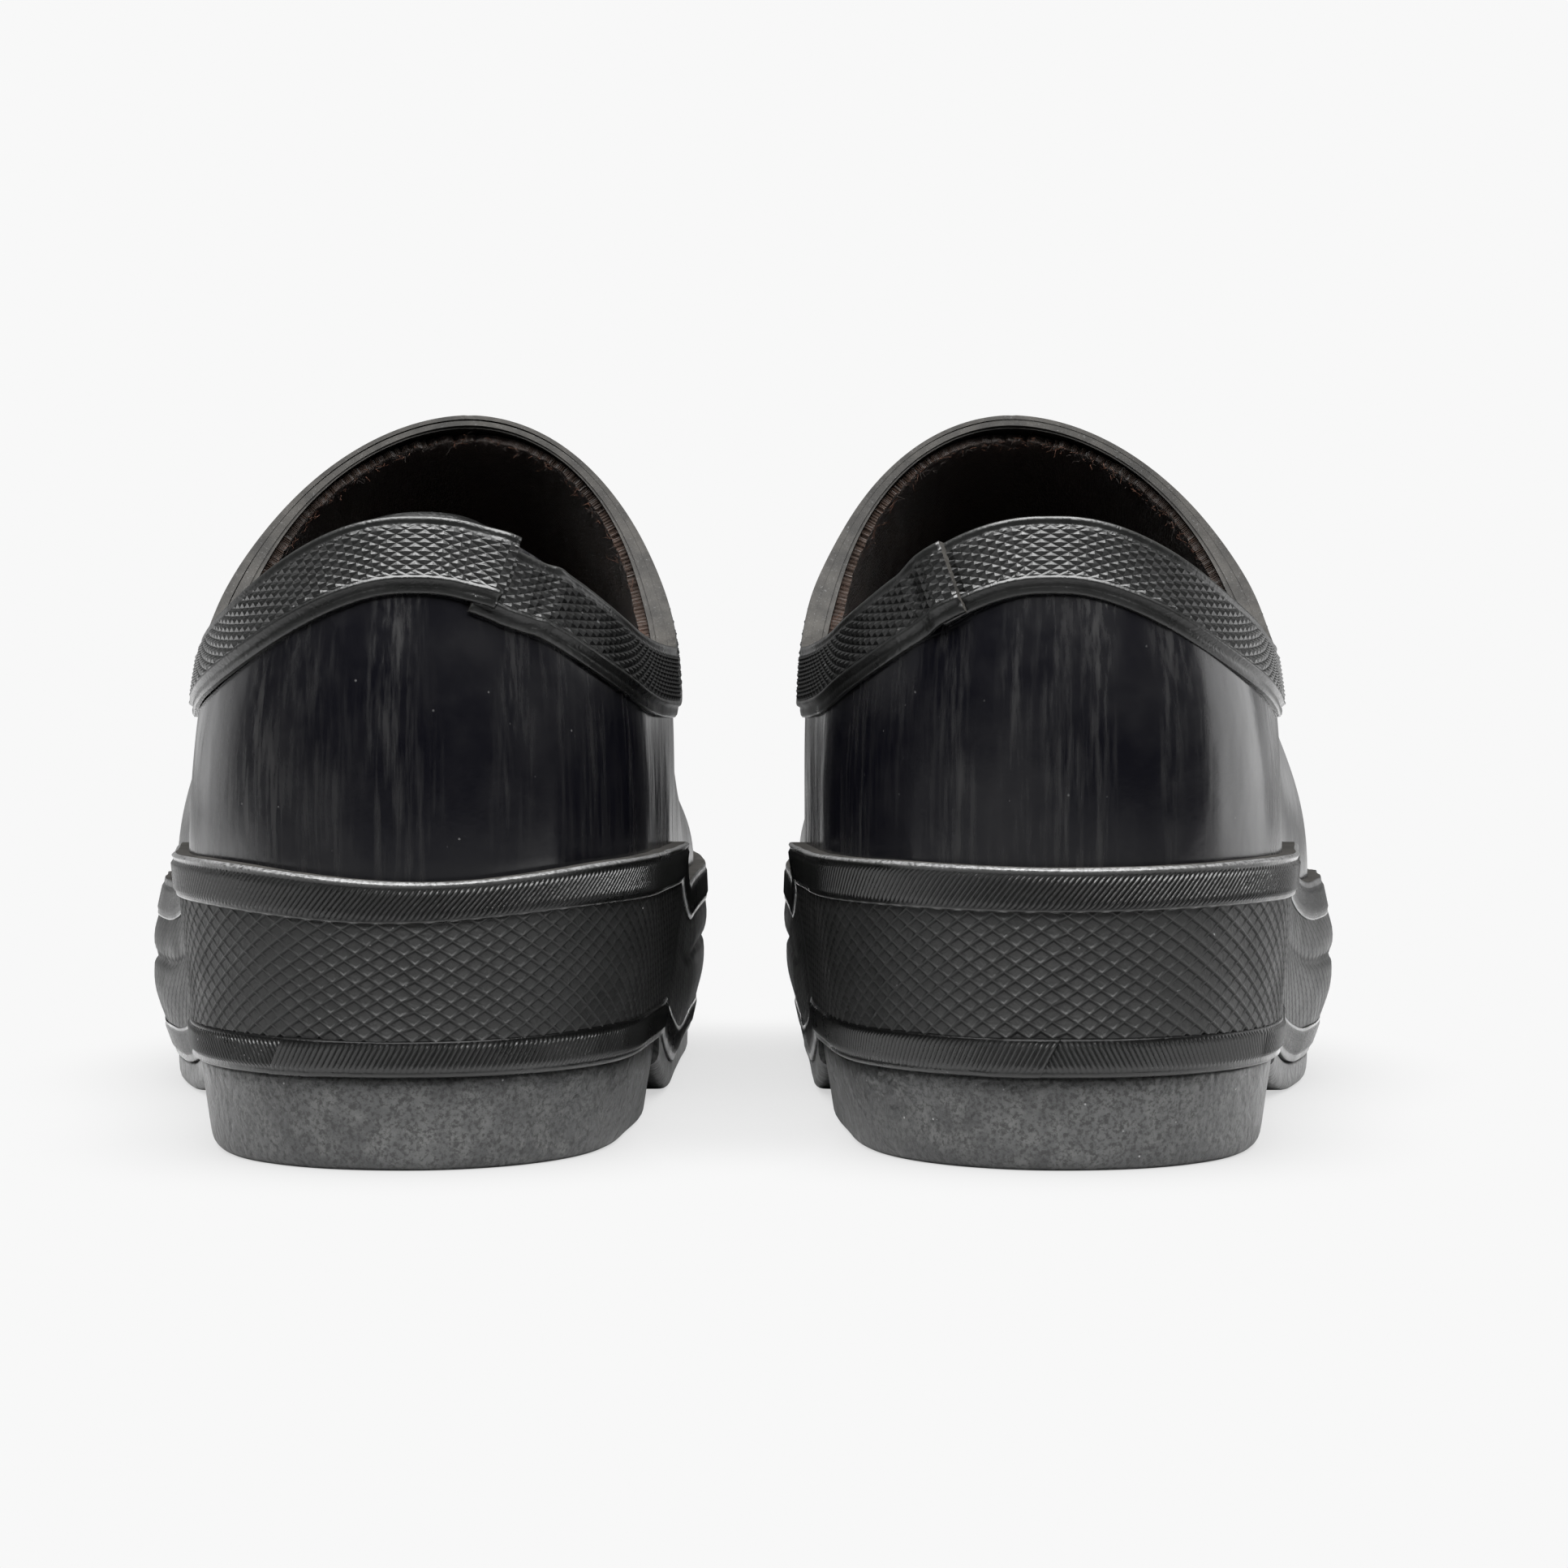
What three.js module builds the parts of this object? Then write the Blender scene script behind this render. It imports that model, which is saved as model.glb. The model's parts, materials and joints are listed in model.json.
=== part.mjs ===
// A pair of hand-laid rubber garden clogs, toes along +Y, standing on z = 0. Millimetres.
//
// Each clog is a rubber upper and a textile lining wrapped round one last shape. The bottom is an
// outsole butted to a heel block, with a midsole inside a foxing strip that ties it to the upper.
// Every layer is a distance in or out from one surface, the wall, which is the upper's outer face.
import * as THREE from "three";

// ---- Overall sizes -------------------------------------------------------------------------
const LENGTH = 290; // heel to toe, over the foxing
const HEEL_WIDTH = 74; // of the wall, across the heel
const BALL_WIDTH = 99; // of the wall, across the ball of the foot
const HEEL_SPACING = BALL_WIDTH + 3; // between the two clogs' heel centres
const TOE_OUT = 1.5; // degrees that each clog turns outwards

// ---- Heights above the ground --------------------------------------------------------------
const HEEL_HEIGHT = 15; // heel block, up to the foxing's bottom edge
const COLLAR_HEEL = 101.5; // top edge at the back of the heel
const COLLAR_DIP = 82; // top edge at the lowest point of the sides
const HEEL_FALL = 16.2; // length over which the top edge falls away from the heel's back
const THROAT_HEIGHT = 123.5; // top edge at the instep
const TOE_BOX_HEIGHT = 59; // top of the toe box
const TOE_SLOPE = 0.2; // fall of the toe box's top towards the tip
const TOE_SPRING = 8; // lift of the sole line at the toe tip

// ---- Places along the clog, from the heel ---------------------------------------------------
const HEEL_LENGTH = 74; // heel block
const DIP_PLACE = 74;
const THROAT_PLACE = 105;
const TOE_BOX_PLACE = 262;

// ---- Thicknesses and strip widths -----------------------------------------------------------
const OUTSOLE = 5.5;
const MIDSOLE_HEEL = 15;
const MIDSOLE_BALL = 9.5;
const UPPER = 1.8;
const LASTING_MARGIN = 11; // width of upper turned in under the insole board
const LINING = 1.0;
const STIFFENER = 0.8; // heel stiffener and toe puff
const BOARD = 1.8;
const FOOTBED = 4;
const SHANK = { start: 45, end: 152, width: 15, thick: 1.4 };
const FILLER = { start: 158, end: 250, thick: 1.4 };
const FOXING = { height: 33, thick: 2.0 };
const TOP_RIB = { width: 6.2, thick: 1.0 };
const BOTTOM_RIB = { width: 6.0, thick: 1.0 };
const TAPE = { width: 12, thick: 1.2 };
const FACING = { width: 6, thick: 0.8 };
const SOLE_EDGE = 1.8; // outsole and heel block stand out this far past the wall
const HEEL_DRAFT = 0.9; // heel block's foot is this much narrower on each side
const GAP = 0.3; // between neighbouring solids
const WIDE_GAP = 0.45; // the same where both their faces are strongly curved

// ---- Shape of the last ----------------------------------------------------------------------
const TUCK = { heel: 3.0, toe: 2.5 }; // lean of the foxing, top to bottom
const SIDE_TUCK = { lateral: [2.8, 2.0], medial: [4.4, 3.0] }; // at the heel, at the ball
const BELLY = { lateral: 3.2, medial: 1.6 }; // the foxing's swell at the ball, halfway up
const HEEL_ROUND = 42; // length over which the heel rounds off in plan
const TOE_ROUND = 92;
const RIDGE_SHIFT = 5; // the instep's crest lies this far to the medial side
const TIP_SHIFT = 7; // and so does the toe's tip
const COUNTER_BULGE = 0.8;
const COUNTER_LEAN = 4.5;
const CREST_POWER = 1.8; // roundness of the cross-section's top
const ANKLE_CLOSE = 131; // height at which the heel's side walls would meet
const ROLL = { low: 0.6, high: 0.5 }; // the foxing's two rolls along the forepart

const OUT = 2 * GAP + FOXING.thick + TOP_RIB.thick; // wall to the outermost strip
const STATIONS = 22; // per side, heel to toe
const clamp = THREE.MathUtils.clamp;
const mix = THREE.MathUtils.lerp;
const ease = THREE.MathUtils.smoothstep;

// A smooth curve through [place, value] points, flat past both ends.
function curve(points) {
  const slope = points.map((p, i) => {
    const a = points[Math.max(i - 1, 0)];
    const b = points[Math.min(i + 1, points.length - 1)];
    return i === 0 || i === points.length - 1 ? 0 : (b[1] - a[1]) / (b[0] - a[0]);
  });
  return (x) => {
    if (x <= points[0][0]) return points[0][1];
    const i = points.findIndex((p) => p[0] >= x);
    if (i < 0) return points[points.length - 1][1];
    const [x0, y0] = points[i - 1];
    const [x1, y1] = points[i];
    const h = x1 - x0;
    const t = (x - x0) / h;
    return (
      y0 * (1 + 2 * t) * (1 - t) ** 2 +
      slope[i - 1] * h * t * (1 - t) ** 2 +
      y1 * t * t * (3 - 2 * t) +
      slope[i] * h * t * t * (t - 1)
    );
  };
}

// ---- Lines along the clog -------------------------------------------------------------------
const BALL_PLACE = LENGTH * 0.69;
const BREAST_END = LENGTH * 0.455; // the arch has come down to the forepart here

// Height of the foxing's bottom edge.
function soleLine(y) {
  const arch = mix(HEEL_HEIGHT, OUTSOLE, ease(y, HEEL_LENGTH + 6, BREAST_END));
  const past = Math.max(0, (y - BALL_PLACE) / (LENGTH - BALL_PLACE));
  return arch + TOE_SPRING * past * past;
}

const foxingTop = (y) => soleLine(y) + FOXING.height;
const bed = (y) => soleLine(y) + mix(MIDSOLE_HEEL, MIDSOLE_BALL, ease(y, HEEL_LENGTH, BREAST_END));
const toeWall = LENGTH - OUT;
const toeTop = foxingTop(toeWall);
const forepart = (y) => ease(y, LENGTH * 0.3, LENGTH * 0.5);

// Half width of the wall at foxing height, before the ends are rounded off.
const halfWidth = {
  lateral: curve([
    [LENGTH * 0.12, HEEL_WIDTH * 0.505],
    [LENGTH * 0.26, HEEL_WIDTH * 0.55],
    [LENGTH * 0.38, BALL_WIDTH * 0.448],
    [LENGTH * 0.52, BALL_WIDTH * 0.54],
    [LENGTH * 0.62, BALL_WIDTH * 0.552],
    [LENGTH * 0.72, BALL_WIDTH * 0.54],
    [LENGTH * 0.9, BALL_WIDTH * 0.49],
  ]),
  medial: curve([
    [LENGTH * 0.12, HEEL_WIDTH * 0.51],
    [LENGTH * 0.26, HEEL_WIDTH * 0.56],
    [LENGTH * 0.38, BALL_WIDTH * 0.425],
    [LENGTH * 0.52, BALL_WIDTH * 0.435],
    [LENGTH * 0.65, BALL_WIDTH * 0.45],
    [LENGTH * 0.74, BALL_WIDTH * 0.445],
    [LENGTH * 0.9, BALL_WIDTH * 0.42],
  ]),
};

// Height of the upper's crest. Behind the throat it is where the open side walls would meet.
const instep = curve([
  [LENGTH * 0.17, ANKLE_CLOSE],
  [LENGTH * 0.27, mix(ANKLE_CLOSE, THROAT_HEIGHT, 0.6)],
  [THROAT_PLACE, THROAT_HEIGHT],
  [mix(THROAT_PLACE, TOE_BOX_PLACE, 0.13), mix(THROAT_HEIGHT, TOE_BOX_HEIGHT, 0.19)],
  [mix(THROAT_PLACE, TOE_BOX_PLACE, 0.26), mix(THROAT_HEIGHT, TOE_BOX_HEIGHT, 0.41)],
  [mix(THROAT_PLACE, TOE_BOX_PLACE, 0.4), mix(THROAT_HEIGHT, TOE_BOX_HEIGHT, 0.62)],
  [mix(THROAT_PLACE, TOE_BOX_PLACE, 0.56), mix(THROAT_HEIGHT, TOE_BOX_HEIGHT, 0.79)],
  [mix(THROAT_PLACE, TOE_BOX_PLACE, 0.76), mix(THROAT_HEIGHT, TOE_BOX_HEIGHT, 0.91)],
  [TOE_BOX_PLACE, TOE_BOX_HEIGHT],
  [toeWall, TOE_BOX_HEIGHT - TOE_SLOPE * (toeWall - TOE_BOX_PLACE)],
]);

function crest(y) {
  if (y <= TOE_BOX_PLACE) return instep(y);
  const over = Math.min(1, (y - TOE_BOX_PLACE) / (toeWall - TOE_BOX_PLACE));
  return toeTop + (instep(y) - toeTop) * Math.sqrt(1 - over * over);
}

// Roundness of the wall's cross-section: flat sided at the instep, fuller at heel and toe.
const squareness = curve([
  [LENGTH * 0.12, 2.2],
  [LENGTH * 0.25, 3.0],
  [LENGTH * 0.36, 2.55],
  [LENGTH * 0.62, 2.4],
  [LENGTH * 0.9, 2.2],
]);

function heelBack(z) {
  const top = foxingTop(0);
  if (z < top) return OUT + (TUCK.heel * (top - z)) / FOXING.height;
  const up = clamp((z - top) / (COLLAR_HEEL - top), 0, 1.2);
  return OUT - COUNTER_BULGE * Math.sin(Math.PI * Math.min(up, 1)) + COUNTER_LEAN * up * up;
}

// Where the crest comes down to height z, or the toe wall below that.
function toeFront(z) {
  if (z <= toeTop) return toeWall - (TUCK.toe * (toeTop - z)) / FOXING.height;
  let low = THROAT_PLACE;
  let high = toeWall;
  for (let i = 0; i < 40; i++) {
    const mid = (low + high) / 2;
    if (crest(mid) > z) low = mid;
    else high = mid;
  }
  return (low + high) / 2;
}

// Height of the clog's top edge over the side, from the heel down to the dip and up to the throat.
function topEdge(y) {
  if (y < DIP_PLACE) {
    const left = (x) => Math.exp(-((Math.max(0, x - OUT - COUNTER_LEAN) / HEEL_FALL) ** 1.2));
    const end = left(DIP_PLACE);
    return mix(COLLAR_DIP, COLLAR_HEEL, (left(y) - end) / (1 - end));
  }
  if (y > THROAT_PLACE) return Infinity;
  return mix(COLLAR_DIP, THROAT_HEIGHT, ((y - DIP_PLACE) / (THROAT_PLACE - DIP_PLACE)) ** 2.1);
}

// ---- The wall: a point at share f of the way from heel to toe, on one side, at height z -------
const roundOff = (d, reach, power) =>
  d >= reach ? 1 : (1 - ((reach - Math.max(d, 0)) / reach) ** power) ** (1 / power);

function wall(f, side, z) {
  const back = heelBack(z);
  const front = toeFront(z);
  const y = back + f * (front - back);
  const top = foxingTop(y);
  let share = roundOff(y - back, HEEL_ROUND, 2.05);
  share *= roundOff((z < toeTop ? front : toeWall) - y, TOE_ROUND, 2.25);
  let crestShift = 0;
  const width = halfWidth[side](y);
  if (z < top) {
    const tuck = mix(...SIDE_TUCK[side], forepart(y));
    share *= 1 - (tuck * (top - z)) / FOXING.height / width;
  } else {
    const up = clamp((z - top) / (crest(y) - top), 0, 1);
    share *= (1 - up ** squareness(y)) ** (1 / CREST_POWER);
    crestShift = RIDGE_SHIFT * up * up * (1 - ease(y, THROAT_PLACE, TOE_BOX_PLACE));
  }
  const centre = -crestShift - TIP_SHIFT * ease(y, LENGTH * 0.6, LENGTH);
  return new THREE.Vector3(centre + (side === "lateral" ? 1 : -1) * width * share, y, z);
}

function outward(f, side, z) {
  const df = 2e-4;
  const dz = 0.05;
  const along = wall(f + df, side, z).sub(wall(f - df, side, z));
  const up = wall(f, side, z + dz).sub(wall(f, side, z - dz));
  return along.cross(up).normalize().multiplyScalar(side === "lateral" ? 1 : -1);
}

// The wall moved out by d, or in where d is negative.
const layer = (f, side, z, d) => wall(f, side, z).addScaledVector(outward(f, side, z), d);

// The same, kept at height z, for the edges of flat pieces.
function flatLayer(f, side, z, d) {
  const n = outward(f, side, z).setZ(0).normalize();
  return wall(f, side, z).addScaledVector(n, d);
}

// The same on the foxing's outside, which swells between its two edges along the forepart.
function rimLayer(f, side, z, d) {
  const y = wall(f, side, z).y;
  const down = clamp((foxingTop(y) - z) / FOXING.height, 0, 1);
  const swell = BELLY[side] * forepart(y) * Math.sin(Math.PI * down);
  return flatLayer(f, side, z, d + swell);
}

// A point on a level that is measured up from the midsole's top, d out of the wall.
function bedPoint(f, side, rise, d) {
  const p = flatLayer(f, side, heightOn(f, bed, rise), d);
  return p.setZ(bed(p.y) + rise);
}

// Height z of a level that is measured up from a line along the clog.
function heightOn(f, line, rise) {
  let z = line(LENGTH / 2) + rise;
  for (let i = 0; i < 6; i++) {
    const y = mix(heelBack(z), toeFront(z), f);
    z = line(y) + rise;
  }
  return z;
}

// Height at which the line up the wall at share f meets the top edge.
function topHeight(f) {
  let low = Math.max(foxingTop(0), toeTop) + 1;
  const under = (z) => z < topEdge(mix(heelBack(z), toeFront(z), f));
  while (under(low) && low < THROAT_HEIGHT) low += 0.5;
  let high = Math.min(low, THROAT_HEIGHT - 0.01);
  low = high - 0.6;
  for (let i = 0; i < 30; i++) {
    const mid = (low + high) / 2;
    if (under(mid)) low = mid;
    else high = mid;
  }
  return (low + high) / 2;
}

// ---- Stations: shares of the way from heel to toe, closer together round both ends ------------
function makeStations() {
  const heelSteps = 5;
  const toeSteps = 7;
  const flatSteps = STATIONS - heelSteps - toeSteps;
  const heelPart = HEEL_ROUND / LENGTH;
  const toePart = TOE_ROUND / LENGTH;
  const found = [];
  for (let i = 0; i < heelSteps; i++) {
    const turn = ((i + 0.5) / heelSteps) * (Math.PI / 2);
    found.push(heelPart * (1 - Math.cos(turn)));
  }
  for (let i = 0; i < flatSteps; i++) {
    found.push(mix(heelPart, 1 - toePart, (i + 0.35) / flatSteps));
  }
  for (let i = 0; i < toeSteps; i++) {
    const turn = ((i + 0.5) / toeSteps) * (Math.PI / 2);
    found.push(1 - toePart * (1 - Math.sin(turn)));
  }
  return found;
}

const stations = makeStations();
const around = [
  ...stations.map((f, i) => ({ f, i, side: "lateral" })),
  ...stations.map((f, i) => ({ f, i, side: "medial" })).reverse(),
];

// Heights of the shell's rows at share f: the foxing's top, even steps up, then the tape's band.
const STEPS_UP = 7;
function rowsAt(f) {
  const low = heightOn(f, foxingTop, 0);
  const high = topHeight(f);
  const fine = 60;
  const zs = [];
  const lengths = [0];
  let before = null;
  for (let i = 0; i <= fine; i++) {
    const z = mix(low, high, i / fine);
    const here = wall(f, "lateral", z);
    if (before) lengths.push(lengths[i - 1] + here.distanceTo(before));
    zs.push(z);
    before = here;
  }
  const total = lengths[fine];
  const heightAt = (length) => {
    const i = clamp(lengths.findIndex((l) => l >= length), 1, fine);
    return mix(zs[i - 1], zs[i], (length - lengths[i - 1]) / (lengths[i] - lengths[i - 1]));
  };
  const belowTape = total - TAPE.width;
  const rows = [low];
  for (let i = 1; i <= STEPS_UP; i++) {
    rows.push(heightAt(belowTape * (i / (STEPS_UP + 1)) ** 1.8));
  }
  rows.push(heightAt(belowTape), heightAt(total - FACING.width), high);
  return rows;
}

const rows = stations.map(rowsAt);
const TOP_ROW = STEPS_UP + 3;

// ---- Solids -----------------------------------------------------------------------------------
// A closed solid from columns of points: each column has an outer and an inner list of one length.
function shell(columns, closed) {
  const count = columns[0].out.length;
  const positions = [];
  columns.forEach((c) => [...c.out, ...c.in].forEach((p) => positions.push(p.x, p.y, p.z)));
  const at = (column, inner, k) => (column % columns.length) * 2 * count + inner * count + k;
  const faces = [];
  const quad = (a, b, c, d) => faces.push(a, b, c, a, c, d);
  for (let c = 0; c < columns.length - (closed ? 0 : 1); c++) {
    for (let k = 0; k < count - 1; k++) {
      quad(at(c, 0, k), at(c + 1, 0, k), at(c + 1, 0, k + 1), at(c, 0, k + 1));
      quad(at(c, 1, k), at(c, 1, k + 1), at(c + 1, 1, k + 1), at(c + 1, 1, k));
    }
    quad(at(c, 0, 0), at(c, 1, 0), at(c + 1, 1, 0), at(c + 1, 0, 0));
    const k = count - 1;
    quad(at(c, 0, k), at(c + 1, 0, k), at(c + 1, 1, k), at(c, 1, k));
  }
  if (!closed) {
    const last = columns.length - 1;
    for (let k = 0; k < count - 1; k++) {
      quad(at(0, 0, k), at(0, 0, k + 1), at(0, 1, k + 1), at(0, 1, k));
      quad(at(last, 0, k), at(last, 1, k), at(last, 1, k + 1), at(last, 0, k + 1));
    }
  }
  const geometry = new THREE.BufferGeometry();
  geometry.setAttribute("position", new THREE.Float32BufferAttribute(positions, 3));
  geometry.setIndex(faceOutwards(positions, faces));
  geometry.computeVertexNormals();
  return geometry;
}

function faceOutwards(positions, faces) {
  const corner = (i) => new THREE.Vector3().fromArray(positions, 3 * i);
  let volume = 0;
  for (let i = 0; i < faces.length; i += 3) {
    volume += corner(faces[i]).dot(corner(faces[i + 1]).cross(corner(faces[i + 2])));
  }
  if (volume > 0) return faces;
  return faces.map((_, i) => faces[i % 3 === 0 ? i : i % 3 === 1 ? i + 1 : i - 1]);
}

// A strip right round the clog: heights at each station, and where its two faces lie.
function strip(levels, outer, inner) {
  const columns = around.map((a) => {
    const zs = levels(a);
    return { out: zs.map((z, k) => outer(a, z, k)), in: zs.map((z) => inner(a, z)) };
  });
  return shell(columns, true);
}

const at = (d) => (a, z) => layer(a.f, a.side, z, d);
const onRim = (d) => (a, z) => rimLayer(a.f, a.side, z, d);

// A pad: low and high give the [height, distance out of the wall] of its two edges at a share.
function pad(shares, low, high) {
  const edge = (f, [z, d]) => ["medial", "lateral"].map((side) => flatLayer(f, side, z, d));
  return shell(
    shares.map((f) => ({ out: edge(f, low(f)), in: edge(f, high(f)) })),
    false,
  );
}

const risesOn = (line, rises) => (a) => rises.map((rise) => heightOn(a.f, line, rise));

function heelBlock() {
  const end = HEEL_LENGTH / LENGTH;
  const shares = [...stations.filter((f) => f < end - 0.01), end];
  return pad(
    shares,
    () => [0, SOLE_EDGE - HEEL_DRAFT],
    () => [HEEL_HEIGHT - GAP, SOLE_EDGE],
  );
}

function outsole() {
  const start = (HEEL_LENGTH + GAP) / LENGTH;
  const shares = [start, ...stations.filter((f) => f > start + 0.01)];
  const top = (f) => heightOn(f, soleLine, 0);
  return pad(
    shares,
    (f) => [top(f) - OUTSOLE, SOLE_EDGE - 0.5],
    (f) => [top(f) - GAP, SOLE_EDGE],
  );
}

function midsole() {
  return pad(
    stations,
    (f) => [heightOn(f, soleLine, 0), 0],
    (f) => [heightOn(f, bed, 0), 0],
  );
}

const flangeTop = WIDE_GAP + UPPER;
const boardLow = flangeTop + WIDE_GAP;
const footbedLow = boardLow + BOARD + GAP;
const patchOut = UPPER + WIDE_GAP;
const liningOverPatch = patchOut + STIFFENER + WIDE_GAP;
const liningOverFacing = UPPER + GAP + FACING.thick + GAP;
const padInset = -(liningOverPatch + LINING + GAP);

// A pad that lies on the midsole, from one rise above it to another.
function bedPad(shares, rise0, rise1, d) {
  const edge = (f, rise) => ["medial", "lateral"].map((side) => bedPoint(f, side, rise, d));
  return shell(
    shares.map((f) => ({ out: edge(f, rise0), in: edge(f, rise1) })),
    false,
  );
}

const insoleBoard = () => bedPad(stations, boardLow, boardLow + BOARD, padInset);
const footbed = () => bedPad(stations, footbedLow, footbedLow + FOOTBED, padInset - GAP);

// Thin pieces that lie on the midsole between the upper's turned-in margins.
function shank() {
  const shares = stations.filter((f) => f > SHANK.start / LENGTH && f < SHANK.end / LENGTH);
  const columns = shares.map((f) => {
    const level = (rise) => {
      const z = heightOn(f, bed, rise);
      const { y } = wall(f, "lateral", z);
      return [-0.5, 0.5].map((s) => new THREE.Vector3(s * SHANK.width, y, z));
    };
    return { out: level(WIDE_GAP), in: level(WIDE_GAP + SHANK.thick) };
  });
  return shell(columns, false);
}

function bottomFiller() {
  const shares = stations.filter((f) => f > FILLER.start / LENGTH && f < FILLER.end / LENGTH);
  return bedPad(shares, WIDE_GAP, WIDE_GAP + FILLER.thick, -LASTING_MARGIN - 2 * GAP);
}

function upper() {
  const columns = around.map((a) => {
    const out = [-LASTING_MARGIN, 0].map((d) => bedPoint(a.f, a.side, WIDE_GAP, d));
    const inner = [-LASTING_MARGIN, -UPPER].map((d) => bedPoint(a.f, a.side, flangeTop, d));
    rows[a.i].forEach((z) => {
      out.push(layer(a.f, a.side, z, 0));
      inner.push(layer(a.f, a.side, z, -UPPER));
    });
    return { out, in: inner };
  });
  return shell(columns, true);
}

// The heel stiffener and the toe puff lie between upper and lining, in these patches of the grid.
const heelPatch = { holds: (i) => i <= 7, top: 6 };
const toePatch = { holds: (i) => i >= 16, top: 4 };
function inShell(a, k, d) {
  return k === 0 ? bedPoint(a.f, a.side, boardLow, d) : layer(a.f, a.side, rows[a.i][k - 1], d);
}

function lining() {
  const columns = around.map((a) => {
    const out = [];
    const inner = [];
    for (let k = 0; k <= TOP_ROW + 1; k++) {
      const padded = [heelPatch, toePatch].some((p) => p.holds(a.i) && k <= p.top);
      const faced = k >= TOP_ROW;
      const d = padded ? liningOverPatch : faced ? liningOverFacing : UPPER + GAP;
      out.push(inShell(a, k, -d));
      inner.push(inShell(a, k, -d - LINING));
    }
    return { out, in: inner };
  });
  return shell(columns, true);
}

function patch({ holds, top }) {
  // The ring of stations starts at the heel, so a patch there is put in order across the start.
  const medialFirst = holds(0) ? [...around.slice(STATIONS), ...around.slice(0, STATIONS)] : around;
  const levels = Array.from({ length: top + 1 }, (_, k) => k);
  const columns = medialFirst
    .filter((a) => holds(a.i))
    .map((a) => ({
      out: levels.map((k) => inShell(a, k, -patchOut)),
      in: levels.map((k) => inShell(a, k, -patchOut - STIFFENER)),
    }));
  return shell(columns, false);
}

function collarFacing() {
  const d = -(UPPER + GAP);
  return strip((a) => rows[a.i].slice(TOP_ROW - 1), at(d), at(d - FACING.thick));
}

function toplineTape() {
  return strip((a) => rows[a.i].slice(TOP_ROW - 2), at(GAP + TAPE.thick), at(GAP));
}

function foxing() {
  const netTop = FOXING.height - TOP_RIB.width - GAP;
  const rises = [0, BOTTOM_RIB.width + GAP, 11.5, 18, 22.5, netTop, FOXING.height];
  const rolls = [0, 0, ROLL.low, 0, ROLL.high, 0, 0];
  const outer = (a, z, k) => {
    const roll = rolls[k] * forepart(a.f * LENGTH);
    return rimLayer(a.f, a.side, z, GAP + FOXING.thick + roll);
  };
  const inner = (a, z) => flatLayer(a.f, a.side, z, GAP);
  return strip(risesOn(soleLine, rises), outer, inner);
}

function ribTape({ thick }, rises) {
  const d = 2 * GAP + FOXING.thick;
  return strip(risesOn(soleLine, rises), onRim(d + thick), onRim(d));
}

// ---- Materials --------------------------------------------------------------------------------
const finish = (name, color, roughness, metalness = 0) =>
  new THREE.MeshStandardMaterial({ name, color, roughness, metalness });
const glossRubber = finish("gloss_rubber", 0x17171b, 0.3);
const satinRubber = finish("embossed_rubber", 0x1f2020, 0.5);
const soleRubber = finish("sole_rubber", 0x4b4d4d, 0.6);
const innerRubber = finish("inner_rubber", 0x2a2a2a, 0.8);
const knit = finish("lining_knit", 0x1d1512, 1);
const fibreBoard = finish("fibre_board", 0x7a6248, 0.9);
const steel = finish("shank_steel", 0x9a9c9e, 0.35, 1);

// ---- The pair ---------------------------------------------------------------------------------
const pieces = {
  heel_block: [heelBlock(), soleRubber],
  outsole: [outsole(), soleRubber],
  midsole: [midsole(), innerRubber],
  shank: [shank(), steel],
  bottom_filler: [bottomFiller(), innerRubber],
  insole_board: [insoleBoard(), fibreBoard],
  footbed: [footbed(), knit],
  upper: [upper(), glossRubber],
  heel_stiffener: [patch(heelPatch), innerRubber],
  toe_puff: [patch(toePatch), innerRubber],
  lining: [lining(), knit],
  collar_facing: [collarFacing(), glossRubber],
  topline_tape: [toplineTape(), satinRubber],
  foxing: [foxing(), satinRubber],
  top_rib_tape: [ribTape(TOP_RIB, [FOXING.height - TOP_RIB.width, FOXING.height]), satinRubber],
  bottom_rib_tape: [ribTape(BOTTOM_RIB, [0, BOTTOM_RIB.width]), satinRubber],
};

// The pieces are shaped as a right clog, lateral side at +X; the left one is its mirror image.
function clog(side) {
  const group = new THREE.Group();
  for (const [name, [geometry, material]] of Object.entries(pieces)) {
    const mesh = new THREE.Mesh(geometry, material);
    mesh.name = `${side}_${name}`;
    group.add(mesh);
  }
  const mirror = side === "left" ? -1 : 1;
  group.rotation.z = -mirror * THREE.MathUtils.degToRad(TOE_OUT);
  group.scale.x = mirror;
  group.position.set((mirror * HEEL_SPACING) / 2, 0, 0);
  return group;
}

const pair = new THREE.Group();
pair.add(clog("left"), clog("right"));
const box = new THREE.Box3().setFromObject(pair, true);
pair.position.y = -(box.min.y + box.max.y) / 2;
export default pair;
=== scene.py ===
import json
import math

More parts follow.
